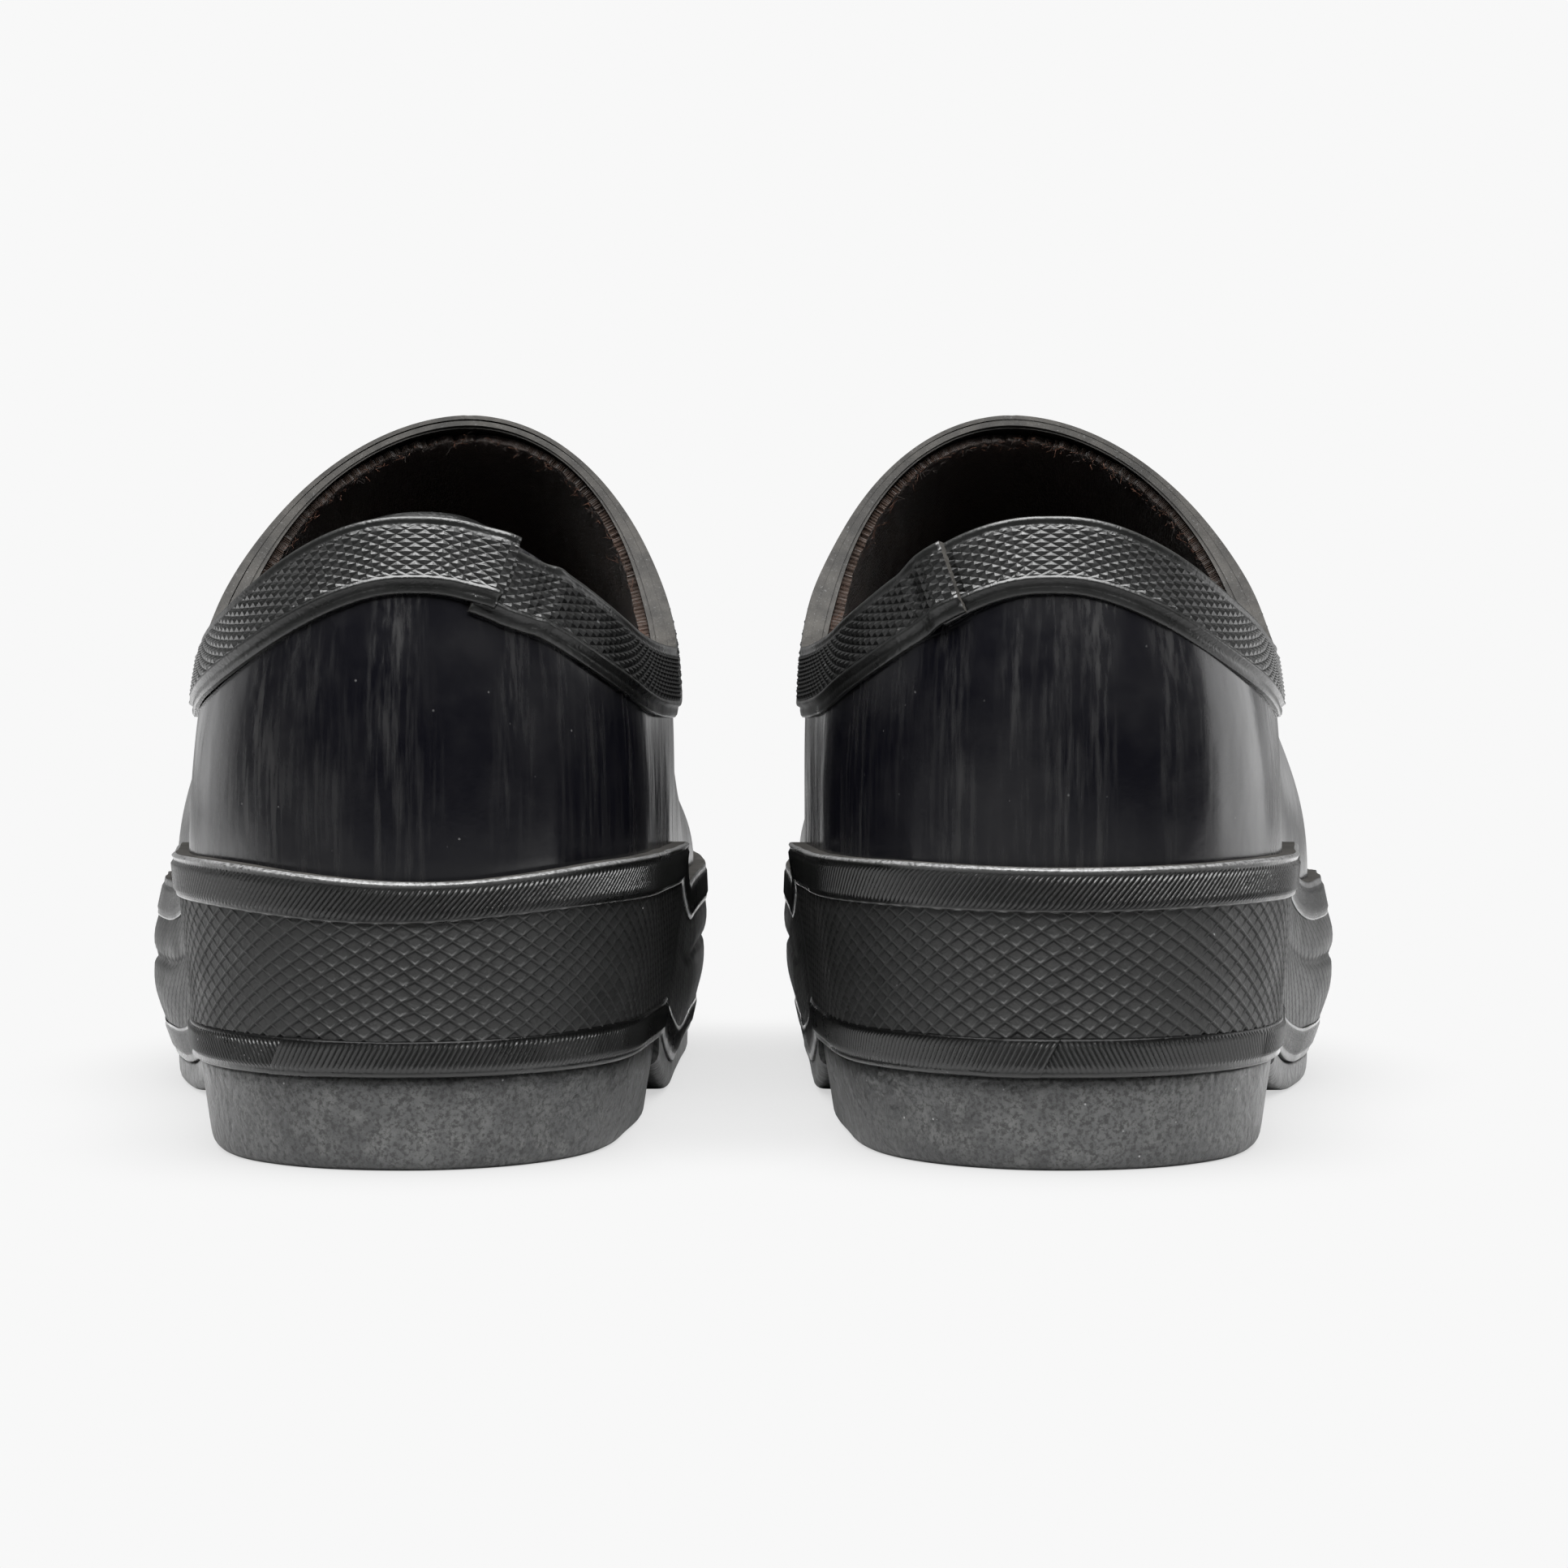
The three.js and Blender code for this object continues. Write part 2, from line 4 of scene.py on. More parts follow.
import bmesh
import bpy
import numpy as np
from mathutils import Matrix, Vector


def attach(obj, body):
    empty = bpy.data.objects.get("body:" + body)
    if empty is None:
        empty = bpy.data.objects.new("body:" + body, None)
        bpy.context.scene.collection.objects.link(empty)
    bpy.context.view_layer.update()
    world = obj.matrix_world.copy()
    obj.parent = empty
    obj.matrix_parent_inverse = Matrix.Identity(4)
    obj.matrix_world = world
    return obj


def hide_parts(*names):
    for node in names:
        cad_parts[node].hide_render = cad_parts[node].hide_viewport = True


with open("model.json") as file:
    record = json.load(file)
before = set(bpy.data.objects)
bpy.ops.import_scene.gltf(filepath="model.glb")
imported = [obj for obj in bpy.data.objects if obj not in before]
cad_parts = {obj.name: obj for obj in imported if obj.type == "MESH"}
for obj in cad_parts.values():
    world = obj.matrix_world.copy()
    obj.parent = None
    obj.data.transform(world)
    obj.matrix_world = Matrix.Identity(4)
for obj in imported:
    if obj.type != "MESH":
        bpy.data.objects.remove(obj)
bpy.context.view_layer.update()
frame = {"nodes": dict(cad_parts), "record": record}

# A pair of hand-laid rubber clogs. Each clog is worked out as a right clog in millimetres, its
# heel at y = 0 and its lateral side at +x, then placed in the frame, mirrored for the left one.
MM = 0.001
LENGTH = 290.0
HEEL_WIDTH = 74.0
BALL_WIDTH = 99.0
HEEL_SPACING = 102.0
TOE_OUT = math.radians(1.5)
SHIFT_Y = -145.45
HEEL_HEIGHT = 15.0
COLLAR_HEEL = 101.5
COLLAR_DIP = 82.0
HEEL_FALL = 16.2
THROAT_HEIGHT = 123.5
TOE_BOX_HEIGHT = 59.0
TOE_SLOPE = 0.2
TOE_SPRING = 8.0
HEEL_LENGTH = 74.0
DIP_PLACE = 74.0
THROAT_PLACE = 105.0
TOE_BOX_PLACE = 262.0
OUTSOLE = 5.5
FOXING_HEIGHT = 33.0
WALL_BACK = 3.6
COUNTER_LEAN = 4.5
CREST_POWER = 1.9
RIDGE_SHIFT = 5.0
TIP_SHIFT = 7.0
BALL_START = LENGTH * 0.455
SPRING_START, SPRING_RUN = LENGTH * 0.69, LENGTH * 0.31
MIDSOLE = (15.0, 9.5)
RIDGE_BEHIND = 131.0
HEEL_ROUND, TOE_ROUND = (42.0, 2.05), (92.0, 2.25)
TUCK = {"lateral": (2.8, 2.0), "medial": (4.4, 3.0)}
BELLY = (3.2, 1.6)
SIDES = {"left": -1, "right": 1}
OWN = {"left": 0, "right": 1}  # added to a random seed, so that the two clogs differ


# ---- Lines and surfaces of the clog --------------------------------------------------------------
def curve(points):
    """Smooth cubic through (place, value) points: each slope is the chord of its neighbours, ends flat."""
    xs, ys = np.array(points, float).T
    slope = np.zeros(len(xs))
    slope[1:-1] = (ys[2:] - ys[:-2]) / (xs[2:] - xs[:-2])

    def at(x):
        x = np.clip(x, xs[0], xs[-1])
        i = np.clip(np.searchsorted(xs, x) - 1, 0, len(xs) - 2)
        h = xs[i + 1] - xs[i]
        t = (x - xs[i]) / h
        return (ys[i] * (1 + 2 * t) * (1 - t) ** 2 + slope[i] * h * t * (1 - t) ** 2
                + ys[i + 1] * t * t * (3 - 2 * t) + slope[i + 1] * h * t * t * (t - 1))
    return at


def ease(x, start, end):
    """0 before start, 1 after end, and a smooth S between them."""
    t = np.clip((x - start) / (end - start), 0, 1)
    return t * t * (3 - 2 * t)


def bump(x, centre, reach):
    """1 at the centre, falling to 0 as a bell over about twice the reach."""
    return np.exp(-((x - centre) / reach) ** 2)


def mix(a, b, t):
    return a + (b - a) * t


def forepart(y):
    return ease(y, LENGTH * 0.3, LENGTH * 0.5)


def sole_line(y):
    """Height of the foxing's foot: level at the heel, down over the arch, up again at the toe."""
    arch = mix(HEEL_HEIGHT, OUTSOLE, ease(y, HEEL_LENGTH + 6, BALL_START))
    past = np.maximum(0, (y - SPRING_START) / SPRING_RUN)
    return arch + TOE_SPRING * past ** 2


def foxing_top(y):
    return sole_line(y) + FOXING_HEIGHT


def bed(y):
    """Height of the midsole's top."""
    return sole_line(y) + mix(*MIDSOLE, ease(y, HEEL_LENGTH, BALL_START))


lateral_width = curve([(LENGTH * a, HEEL_WIDTH * b) for a, b in ((0.12, 0.505), (0.26, 0.55))]
                      + [(LENGTH * a, BALL_WIDTH * b) for a, b in
                         ((0.38, 0.448), (0.52, 0.54), (0.62, 0.552), (0.72, 0.54), (0.9, 0.49))])
medial_width = curve([(LENGTH * a, HEEL_WIDTH * b) for a, b in ((0.12, 0.51), (0.26, 0.56))]
                     + [(LENGTH * a, BALL_WIDTH * b) for a, b in
                        ((0.38, 0.425), (0.52, 0.435), (0.65, 0.45), (0.74, 0.445), (0.9, 0.42))])
TOE_WALL = LENGTH - WALL_BACK
TOE_TOP = float(foxing_top(TOE_WALL))
VAMP = ((0.13, 0.19), (0.26, 0.41), (0.4, 0.62), (0.56, 0.79), (0.76, 0.91), (1, 1))
instep = curve([(LENGTH * 0.17, RIDGE_BEHIND), (LENGTH * 0.27, mix(RIDGE_BEHIND, THROAT_HEIGHT, 0.6)),
                (THROAT_PLACE, THROAT_HEIGHT)]
               + [(mix(THROAT_PLACE, TOE_BOX_PLACE, a), mix(THROAT_HEIGHT, TOE_BOX_HEIGHT, b))
                  for a, b in VAMP]
               + [(TOE_WALL, TOE_BOX_HEIGHT - TOE_SLOPE * (TOE_WALL - TOE_BOX_PLACE))])
squareness = curve([(LENGTH * 0.12, 2.2), (LENGTH * 0.25, 3.0), (LENGTH * 0.36, 2.55),
                    (LENGTH * 0.62, 2.4), (LENGTH * 0.9, 2.2)])


def crest(y):
    """Height of the upper's ridge line, rounded down to the foxing's top at the toe."""
    over = np.clip((y - TOE_BOX_PLACE) / (TOE_WALL - TOE_BOX_PLACE), 0, 1)
    rounded = TOE_TOP + (instep(y) - TOE_TOP) * np.sqrt(1 - over ** 2)
    return np.where(y <= TOE_BOX_PLACE, instep(y), rounded)


toe_turn = np.sin(np.linspace(0, math.pi / 2, 600))[1:]
ridge_y = np.concatenate([np.linspace(THROAT_PLACE, TOE_BOX_PLACE, 600),
                          TOE_WALL - (TOE_WALL - TOE_BOX_PLACE) * (1 - toe_turn)])
ridge_z = crest(ridge_y)


def heel_back(z):
    """How far the heel's wall lies from the back at height z: tucked in below, leaning in above."""
    top = foxing_top(0.0)
    up = np.clip((z - top) / (COLLAR_HEEL - top), 0, 1.2)
    above = WALL_BACK - 0.8 * np.sin(math.pi * np.minimum(up, 1)) + COUNTER_LEAN * up * up
    return np.where(z < top, WALL_BACK + 3.0 * (top - z) / FOXING_HEIGHT, above)


def toe_front(z):
    """Where the ridge comes down to height z, or the toe's wall below that."""
    above = np.interp(-z, -ridge_z, ridge_y)
    return np.where(z <= TOE_TOP, TOE_WALL - 2.5 * (TOE_TOP - z) / FOXING_HEIGHT, above)


def round_off(d, reach, power):
    """Quarter of a rounded square: 0 at d = 0 and 1 from d = reach on."""
    u = np.clip((reach - d) / reach, 0, 1)
    return (1 - u ** power) ** (1 / power)


def outline_y(s, z):
    """How far along the clog s lies at height z: from heel to toe and back as half a turn of a circle."""
    return mix(heel_back(z), toe_front(z), (1 - np.cos(math.pi * s)) / 2)


def outline_s(share):
    """The s at which the lateral side has come that share of the way along."""
    return math.acos(1 - 2 * share) / math.pi


def wall(s, z):
    """The upper's outer face. s runs 0 to 1 along the lateral side from heel to toe and 1 to 2 back
    along the medial side; y is that share of the outline at height z, and x is the half width there
    times the roundings of heel, toe and section."""
    s, z = np.broadcast_arrays(np.asarray(s, float) % 2, np.asarray(z, float))
    lateral = s < 1
    back, front = heel_back(z), toe_front(z)
    y = outline_y(s, z)
    top = foxing_top(y)
    width = np.where(lateral, lateral_width(y), medial_width(y))
    ahead = np.where(z < TOE_TOP, front, TOE_WALL) - y
    share = round_off(y - back, *HEEL_ROUND) * round_off(ahead, *TOE_ROUND)
    fore = forepart(y)
    tuck = np.where(lateral, mix(*TUCK["lateral"], fore), mix(*TUCK["medial"], fore))
    below = z < top
    up = np.clip((z - top) / np.maximum(crest(y) - top, 1e-6), 0, 1)
    share = share * np.where(below, 1 - tuck * (top - z) / FOXING_HEIGHT / width,
                             np.maximum(1 - up ** squareness(y), 0) ** (1 / CREST_POWER))
    shift = np.where(below, 0, RIDGE_SHIFT * up * up * (1 - ease(y, THROAT_PLACE, TOE_BOX_PLACE)))
    centre = -shift - TIP_SHIFT * ease(y, LENGTH * 0.6, LENGTH)
    x = centre + np.where(lateral, 1, -1) * width * share
    return np.stack([x, y, z], -1)


def slopes(s, z):
    """Changes of the wall per unit of s and of z, by central differences."""
    ds, dz = 4e-4, 0.04
    along = (wall(s + ds, z) - wall(s - ds, z)) / (2 * ds)
    up = (wall(s, z + dz) - wall(s, z - dz)) / (2 * dz)
    return along, up


def unit(v):
    return v / np.maximum(np.linalg.norm(v, axis=-1, keepdims=True), 1e-12)


def run(points):
    """Length along a line of points from its first one."""
    steps = np.linalg.norm(np.diff(points, axis=-2), axis=-1)
    return np.concatenate([np.zeros_like(steps[..., :1]), np.cumsum(steps, -1)], -1)


def level_unit(v):
    """Vectors of length 1 that point as v does, without its rise."""
    return unit(v * np.array([1, 1, 0]))


def outward(s, z):
    along, up = slopes(s, z)
    return unit(np.cross(along, up))


def layer(s, z, d):
    """The wall moved out by d."""
    return wall(s, z) + outward(s, z) * np.asarray(d)[..., None]


def swell(s, z):
    """How far the foxing bellies out between its two edges, along the forepart only."""
    y = wall(s, z)[..., 1]
    down = np.clip((foxing_top(y) - z) / FOXING_HEIGHT, 0, 1)
    belly = np.where(np.asarray(s) % 2 < 1, *BELLY)
    return belly * forepart(y) * np.sin(math.pi * down)


def level(s, line, rise):
    """Height at s of a level that lies rise above a line along the clog, found by repeated guesses."""
    s, rise = np.broadcast_arrays(np.asarray(s, float), np.asarray(rise, float))
    z = line(LENGTH / 2) + rise
    for _ in range(8):
        z = line(outline_y(s, z)) + rise
    return z


def rim(s, rise, d):
    """A point on the foxing, rise above its foot and d out of the wall, measured level."""
    z = level(s, sole_line, rise)
    return wall(s, z) + level_unit(outward(s, z)) * (np.asarray(d) + swell(s, z))[..., None]


def top_edge(y):
    """Height of the top edge over the side: falling fast from the heel and levelling out at the dip,
    then steeply up to the throat."""
    def left(x):
        """What is left of the heel's height at x."""
        return np.exp(-(np.maximum(x - WALL_BACK - COUNTER_LEAN, 0) / HEEL_FALL) ** 1.2)
    end = left(DIP_PLACE)
    behind = mix(COLLAR_DIP, COLLAR_HEEL, (left(y) - end) / (1 - end))
    rise = np.clip((y - DIP_PLACE) / (THROAT_PLACE - DIP_PLACE), 0, 1) ** 2.1
    ahead = mix(COLLAR_DIP, THROAT_HEIGHT, rise)
    return np.where(y < DIP_PLACE, behind, np.where(y > THROAT_PLACE, 1e3, ahead))


def top_height(s):
    """Height at which the line up the wall at s meets the top edge: the first crossing, then halving."""
    def under(z):
        return z < top_edge(outline_y(s, z))
    zs = np.linspace(foxing_top(0.0) + 1, THROAT_HEIGHT - 0.01, 200)
    over = ~under(zs[:, None] + 0 * s)
    first = np.where(over.any(0), over.argmax(0), len(zs) - 1)
    high = zs[first]
    low = zs[np.maximum(first - 1, 0)]
    for _ in range(30):
        middle = (low + high) / 2
        is_under = under(middle)
        low = np.where(is_under, middle, low)
        high = np.where(is_under, high, middle)
    return (low + high) / 2


# The top edge as a closed line, by its length q from the heel centre round the lateral side.
EDGE_STEPS = 2400
edge_s = np.linspace(0, 2, EDGE_STEPS + 1)
edge_z = top_height(edge_s)
edge_q = run(wall(edge_s, edge_z))
EDGE = edge_q[-1]


def edge_at(q):
    """(s, z) of the top edge at length q from the heel centre."""
    q = np.asarray(q) % EDGE
    return np.interp(q, edge_q, edge_s), np.interp(q, edge_q, edge_z)


def below_edge(q, depths):
    """(s, z) grids of points that lie the given depths down the wall, square to the top edge. Each
    step goes the same way down the surface, turned into changes of s and z by least squares."""
    s, z = edge_at(q)
    ahead = wall(*edge_at(q + 1.0)) - wall(*edge_at(q - 1.0))
    down = unit(np.cross(ahead, outward(s, z)))
    out_s, out_z, at = [], [], 0.0
    for depth in depths:
        steps = max(1, int(abs(depth - at) / 1.0))
        for _ in range(steps):
            along, up = slopes(s, z)
            normal = unit(np.cross(along, up))
            go = unit(down - normal * (down * normal).sum(-1, keepdims=True)) * (depth - at) / steps
            aa, bb = (along * along).sum(-1), (up * up).sum(-1)
            ab, ag, bg = (along * up).sum(-1), (along * go).sum(-1), (up * go).sum(-1)
            det = np.maximum(aa * bb - ab * ab, 1e-9)
            s = s + (ag * bb - bg * ab) / det
            z = z + (bg * aa - ag * ab) / det
        at = depth
        out_s.append(s)
        out_z.append(z)
    return np.stack(out_s, 1), np.stack(out_z, 1)


def round_foot(rise):
    """(s, length) table round the clog at a rise above the foxing's foot."""
    s = np.linspace(0, 2, 1601)
    return s, run(rim(s, rise, 0.0))


foot_s, foot_q = round_foot(16.0)
FOOT = foot_q[-1]


def foot_at(q):
    """s at length q round the foxing from the heel centre; q may run past one turn."""
    q = np.asarray(q, float)
    return np.interp(q % FOOT, foot_q, foot_s) + 2 * np.floor(q / FOOT)


def waves(seed, *coords, count=6, low=0.5, high=2.0):
    """Sum of a few sine waves with set random directions and phases, about -1 to 1."""
    rng = np.random.default_rng(seed)
    total = 0
    for _ in range(count):
        turn = sum(c * k for c, k in zip(coords, rng.normal(0, 1, len(coords)) * rng.uniform(low, high)))
        total = total + np.sin(turn + rng.uniform(0, 6.28))
    return total / math.sqrt(count)


# ---- Meshes --------------------------------------------------------------------------------------
PLAIN = 0.5  # the mark of a plain place: no scuffing, no painted highlight and no painted groove shade


def place(points, side):
    """Right-clog millimetres to frame metres, mirrored for the left clog."""
    m = SIDES[side]
    turn = -m * TOE_OUT
    x, y, z = points[..., 0] * m, points[..., 1], points[..., 2]
    return np.stack([x * math.cos(turn) - y * math.sin(turn) + m * HEEL_SPACING / 2,
                     x * math.sin(turn) + y * math.cos(turn) + SHIFT_Y, z], -1) * MM


def grid_faces(columns, rows, closed, start=0):
    """Quads of a grid whose point (c, r) is number start + c * rows + r; closed joins its two ends."""
    c = np.arange(columns if closed else columns - 1)[:, None]
    r = np.arange(rows - 1)[None]
    a, b = c * rows + r, ((c + 1) % columns) * rows + r
    return start + np.stack([a, b, b + 1, a + 1], -1).reshape(-1, 4)


def solid(side, name, outer, inner, closed=True, uv=None, marks=None, splits=None, flat=None):
    """A closed solid between two grids of points (columns, rows, 3), with rims top and bottom and, where it
    isn't closed into a ring, end faces. marks is a value per outer point: high for scuffed and dusty places
    and for painted highlight, low for painted shade in grooves.
    The faces' material numbers are 0, and 1 on the top rim and the ends."""
    columns, rows = outer.shape[:2]
    half = columns * rows
    front = grid_faces(columns, rows, closed)
    sharp = np.zeros(len(front), bool) if flat is None else flat.ravel()
    if splits is not None:
        front = np.where(splits.reshape(-1, 1), front, np.roll(front, 1, axis=1))
    back = grid_faces(columns, rows, closed, half)[:, ::-1]
    c = np.arange(columns if closed else columns - 1)
    d = (c + 1) % columns
    first, last = c * rows, d * rows
    low = np.stack([first, first + half, last + half, last], -1)
    high = np.stack([first, last, last + half, first + half], -1) + rows - 1
    parts, numbers = [front, back, low, high], [0, 0, 0, 1]
    if not closed:
        r = np.arange(rows - 1)
        e = (columns - 1) * rows + r
        parts += [np.stack([r, r + 1, r + 1 + half, r + half], -1),
                  np.stack([e, e + half, e + 1 + half, e + 1], -1)]
        numbers += [1, 1]
    faces = np.concatenate(parts)
    material = np.concatenate([np.full(len(p), n) for p, n in zip(parts, numbers)])
    smooth = np.arange(len(faces)) < len(front) + len(back)
    smooth[:len(front)] &= ~sharp
    if splits is not None:
        faces = np.stack([faces[:, [0, 1, 2]], faces[:, [0, 2, 3]]], 1).reshape(-1, 3)
        material, smooth = np.repeat(material, 2), np.repeat(smooth, 2)
    values = None if marks is None else np.concatenate([marks.ravel(), np.full(half, PLAIN)])
    coords = None if uv is None else np.concatenate([uv, uv]).reshape(-1, 2)
    return build(side, name, np.concatenate([outer, inner]), faces, material, smooth, values, coords)


def strip(side, name, outer, back, uv, marks):
    """A strip's solid in triangles: the outer grid from its lower edge up, a plain back of one face per
    column between the lower line back[0] and the upper line back[1], and a fan over each end. The face
    over the top has material 1."""
    columns, rows = outer.shape[:2]
    loop = rows + 2
    rings = np.concatenate([outer, back[1][:, None], back[0][:, None]], 1)
    k = np.arange(loop)[None]
    n = (k + 1) % loop
    a = np.arange(columns - 1)[:, None] * loop
    quads = np.stack([a + k, a + loop + k, a + loop + n, a + n], -1).reshape(-1, 4)
    kind = np.broadcast_to(k, (columns - 1, loop)).ravel()
    faces = np.stack([quads[:, [0, 1, 2]], quads[:, [0, 2, 3]]], 1).reshape(-1, 3)
    kind = np.repeat(kind, 2)
    r = np.arange(rows - 1)
    apex = np.where(r < rows // 2, rows + 1, rows)
    fan = np.concatenate([np.stack([r, r + 1, apex], -1), [[rows // 2, rows, rows + 1]]])
    faces = np.concatenate([faces, fan, fan[:, ::-1] + (columns - 1) * loop])
    kind = np.concatenate([kind, np.full(2 * len(fan), rows)])
    values = np.concatenate([marks, np.full((columns, 2), PLAIN)], 1).ravel()
    coords = np.concatenate([uv, uv[:, -1:], uv[:, :1]], 1).reshape(-1, 2)
    return build(side, name, rings, faces, (kind == rows - 1).astype(int), kind < rows - 1, values, coords)


def build(side, name, points, faces, material=None, smooth=True, values=None, coords=None):
    """A mesh object from right-clog points and faces, all of one kind, for the clog of that side, with the
    point values as the attribute mark and the coordinates as a UV map."""
    name = side + "_" + name
    points = place(points.reshape(-1, 3), side)
    faces = faces[:, ::SIDES[side]]
    mesh = bpy.data.meshes.new(name)
    mesh.vertices.add(len(points))
    mesh.vertices.foreach_set("co", points.astype(np.float32).ravel())
    mesh.loops.add(faces.size)
    mesh.loops.foreach_set("vertex_index", faces.ravel().astype(np.int32))
    mesh.polygons.add(len(faces))
    mesh.polygons.foreach_set("loop_start", np.arange(0, faces.size, faces.shape[1], dtype=np.int32))
    if material is not None:
        mesh.polygons.foreach_set("material_index", material.astype(np.int32))
    mesh.polygons.foreach_set("use_smooth", np.broadcast_to(smooth, len(faces)).astype(bool))
    mesh.update(calc_edges=True)
    if values is not None:
        mesh.attributes.new("mark", "FLOAT", "POINT").data.foreach_set("value", values.astype(np.float32))
    if coords is not None:
        corners = coords[faces.ravel()].astype(np.float32)
        mesh.uv_layers.new(name="strip").data.foreach_set("uv", corners.ravel())
    mesh.validate()
    piece = bpy.data.objects.new(name, mesh)
    bpy.context.scene.collection.objects.link(piece)
    return piece


def finish_piece(piece, side, slot, materials, *nodes):
    for m in materials:
        piece.data.materials.append(m)
    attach(piece, side + "_clog")
    if nodes:
        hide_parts(*[side + "_" + n for n in nodes])
    return piece


# ---- Materials -----------------------------------------------------------------------------------
class Graph:
    """Short ways to add nodes to a node tree."""

    def __init__(self, tree, material=None):
        self.tree = tree
        self.material = material

    def fill(self, node, inputs):
        """Sets the node's inputs, each to a value or to a link from another node's output."""
        for key, value in inputs.items():
            if isinstance(value, bpy.types.NodeSocket):
                self.tree.links.new(value, node.inputs[key])
            else:
                node.inputs[key].default_value = value

    def add(self, kind, inputs, **settings):
        node = self.tree.nodes.new(kind)
        for key, value in settings.items():
            setattr(node, key, value)
        self.fill(node, inputs)
        return node

    def math(self, operation, a, b=0.0, clamp=False):
        return self.add("ShaderNodeMath", {0: a, 1: b}, operation=operation, use_clamp=clamp).outputs[0]

    def times(self, a, b):
        return self.math("MULTIPLY", a, b)

    def plus(self, a, b):
        return self.math("ADD", a, b)

    def blend(self, factor, a, b):
        """Colour a to colour b by factor."""
        return self.add("ShaderNodeMix", {"Factor": factor, 6: a, 7: b}, data_type="RGBA").outputs[2]

    def ramp(self, value, low, high, to_low=0.0, to_high=1.0):
        return self.add("ShaderNodeMapRange", {"Value": value, "From Min": low, "From Max": high,
                                               "To Min": to_low, "To Max": to_high}).outputs[0]

    def noise(self, coords, scale, detail=3.0, rough=0.55):
        return self.add("ShaderNodeTexNoise", {"Vector": coords, "Scale": scale, "Detail": detail,
                                               "Roughness": rough}).outputs["Fac"]

    def stretched(self, coords, scale):
        return self.add("ShaderNodeMapping", {"Vector": coords, "Scale": scale}).outputs[0]

    def parts(self, vector):
        return self.add("ShaderNodeSeparateXYZ", {0: vector}).outputs

    def group(self, tree, **inputs):
        return self.add("ShaderNodeGroup", inputs, node_tree=tree).outputs

    def surface(self, colour, rough, bump=None, **more):
        """Feeds the Principled BSDF; bump is (height, strength, distance), and more its other inputs."""
        inputs = {key.replace("_", " "): value for key, value in more.items()}
        if bump:
            node = self.add("ShaderNodeBump", dict(zip(("Height", "Strength", "Distance"), bump)))
            inputs["Normal"] = node.outputs["Normal"]
        self.fill(self.tree.nodes["Principled BSDF"], {"Base Color": colour, "Roughness": rough, **inputs})
        return self.material


def grey(value):
    return (value, value, value, 1.0)


def new_group(name, inputs, outputs):
    """An empty shader node group with named float sockets; returns it with its graph and end nodes."""
    group = bpy.data.node_groups.new(name, "ShaderNodeTree")
    for key, value in inputs.items():
        kind = "NodeSocketVector" if value is None else "NodeSocketFloat"
        socket = group.interface.new_socket(key, in_out="INPUT", socket_type=kind)
        if value is not None:
            socket.default_value = value
    for key in outputs:
        group.interface.new_socket(key, in_out="OUTPUT", socket_type="NodeSocketFloat")
    return group, Graph(group), group.nodes.new("NodeGroupInput"), group.nodes.new("NodeGroupOutput")


def make_dust_group():
    """Dust: soft cloudy patches, fine vertical wiping streaks and small bright specks, each 0 to 1."""
    group, g, start, end = new_group("rubber_dust", {"Vector": None}, ("Patches", "Streaks", "Specks"))
    v = start.outputs["Vector"]
    fine = g.noise(g.stretched(v, (900.0, 900.0, 55.0)), 1.0, 4.0, 0.6)
    broad = g.noise(g.stretched(v, (110.0, 110.0, 12.0)), 1.0, 2.0, 0.5)
    cells = g.add("ShaderNodeTexVoronoi", {"Vector": v, "Scale": 420.0})
    near = g.ramp(cells.outputs["Distance"], 0.10, 0.04)
    chosen = g.ramp(g.noise(v, 300.0, 1.0), 0.60, 0.66)
    g.fill(end, {"Patches": g.ramp(g.noise(v, 38.0, 5.0, 0.6), 0.42, 0.72),
                 "Streaks": g.times(g.ramp(fine, 0.45, 0.75), g.ramp(broad, 0.4, 0.62)),
                 "Specks": g.times(near, chosen)})
    return group


def make_grain_group():
    """Grain: the height of a fine leathery crinkle, cells of two sizes broken up by noise."""
    group, g, start, end = new_group("rubber_grain", {"Vector": None, "Scale": 600.0}, ("Height",))
    v, scale = start.outputs["Vector"], start.outputs["Scale"]
    warp = g.add("ShaderNodeTexNoise", {"Vector": v, "Scale": 160.0, "Detail": 2.0}).outputs["Color"]
    reach = (0.006, 0.006, 0.006)
    warp = g.add("ShaderNodeVectorMath", {0: warp, 1: reach}, operation="MULTIPLY").outputs[0]
    bent = g.add("ShaderNodeVectorMath", {0: v, 1: warp}, operation="ADD").outputs[0]
    cells = g.add("ShaderNodeTexVoronoi", {"Vector": bent, "Scale": scale}, feature="SMOOTH_F1")
    g.fill(end, {"Height": g.plus(cells.outputs["Distance"], g.noise(bent, scale, 5.0, 0.6))})
    return group


dust_group = make_dust_group()
grain_group = make_grain_group()


def new_material(name):
    """The graph of a new material, and the coordinates of the object it is on."""
    material = bpy.data.materials.new(name)
    material.use_nodes = True
    g = Graph(material.node_tree, material)
    return g, g.add("ShaderNodeTexCoord", {}).outputs["Object"]


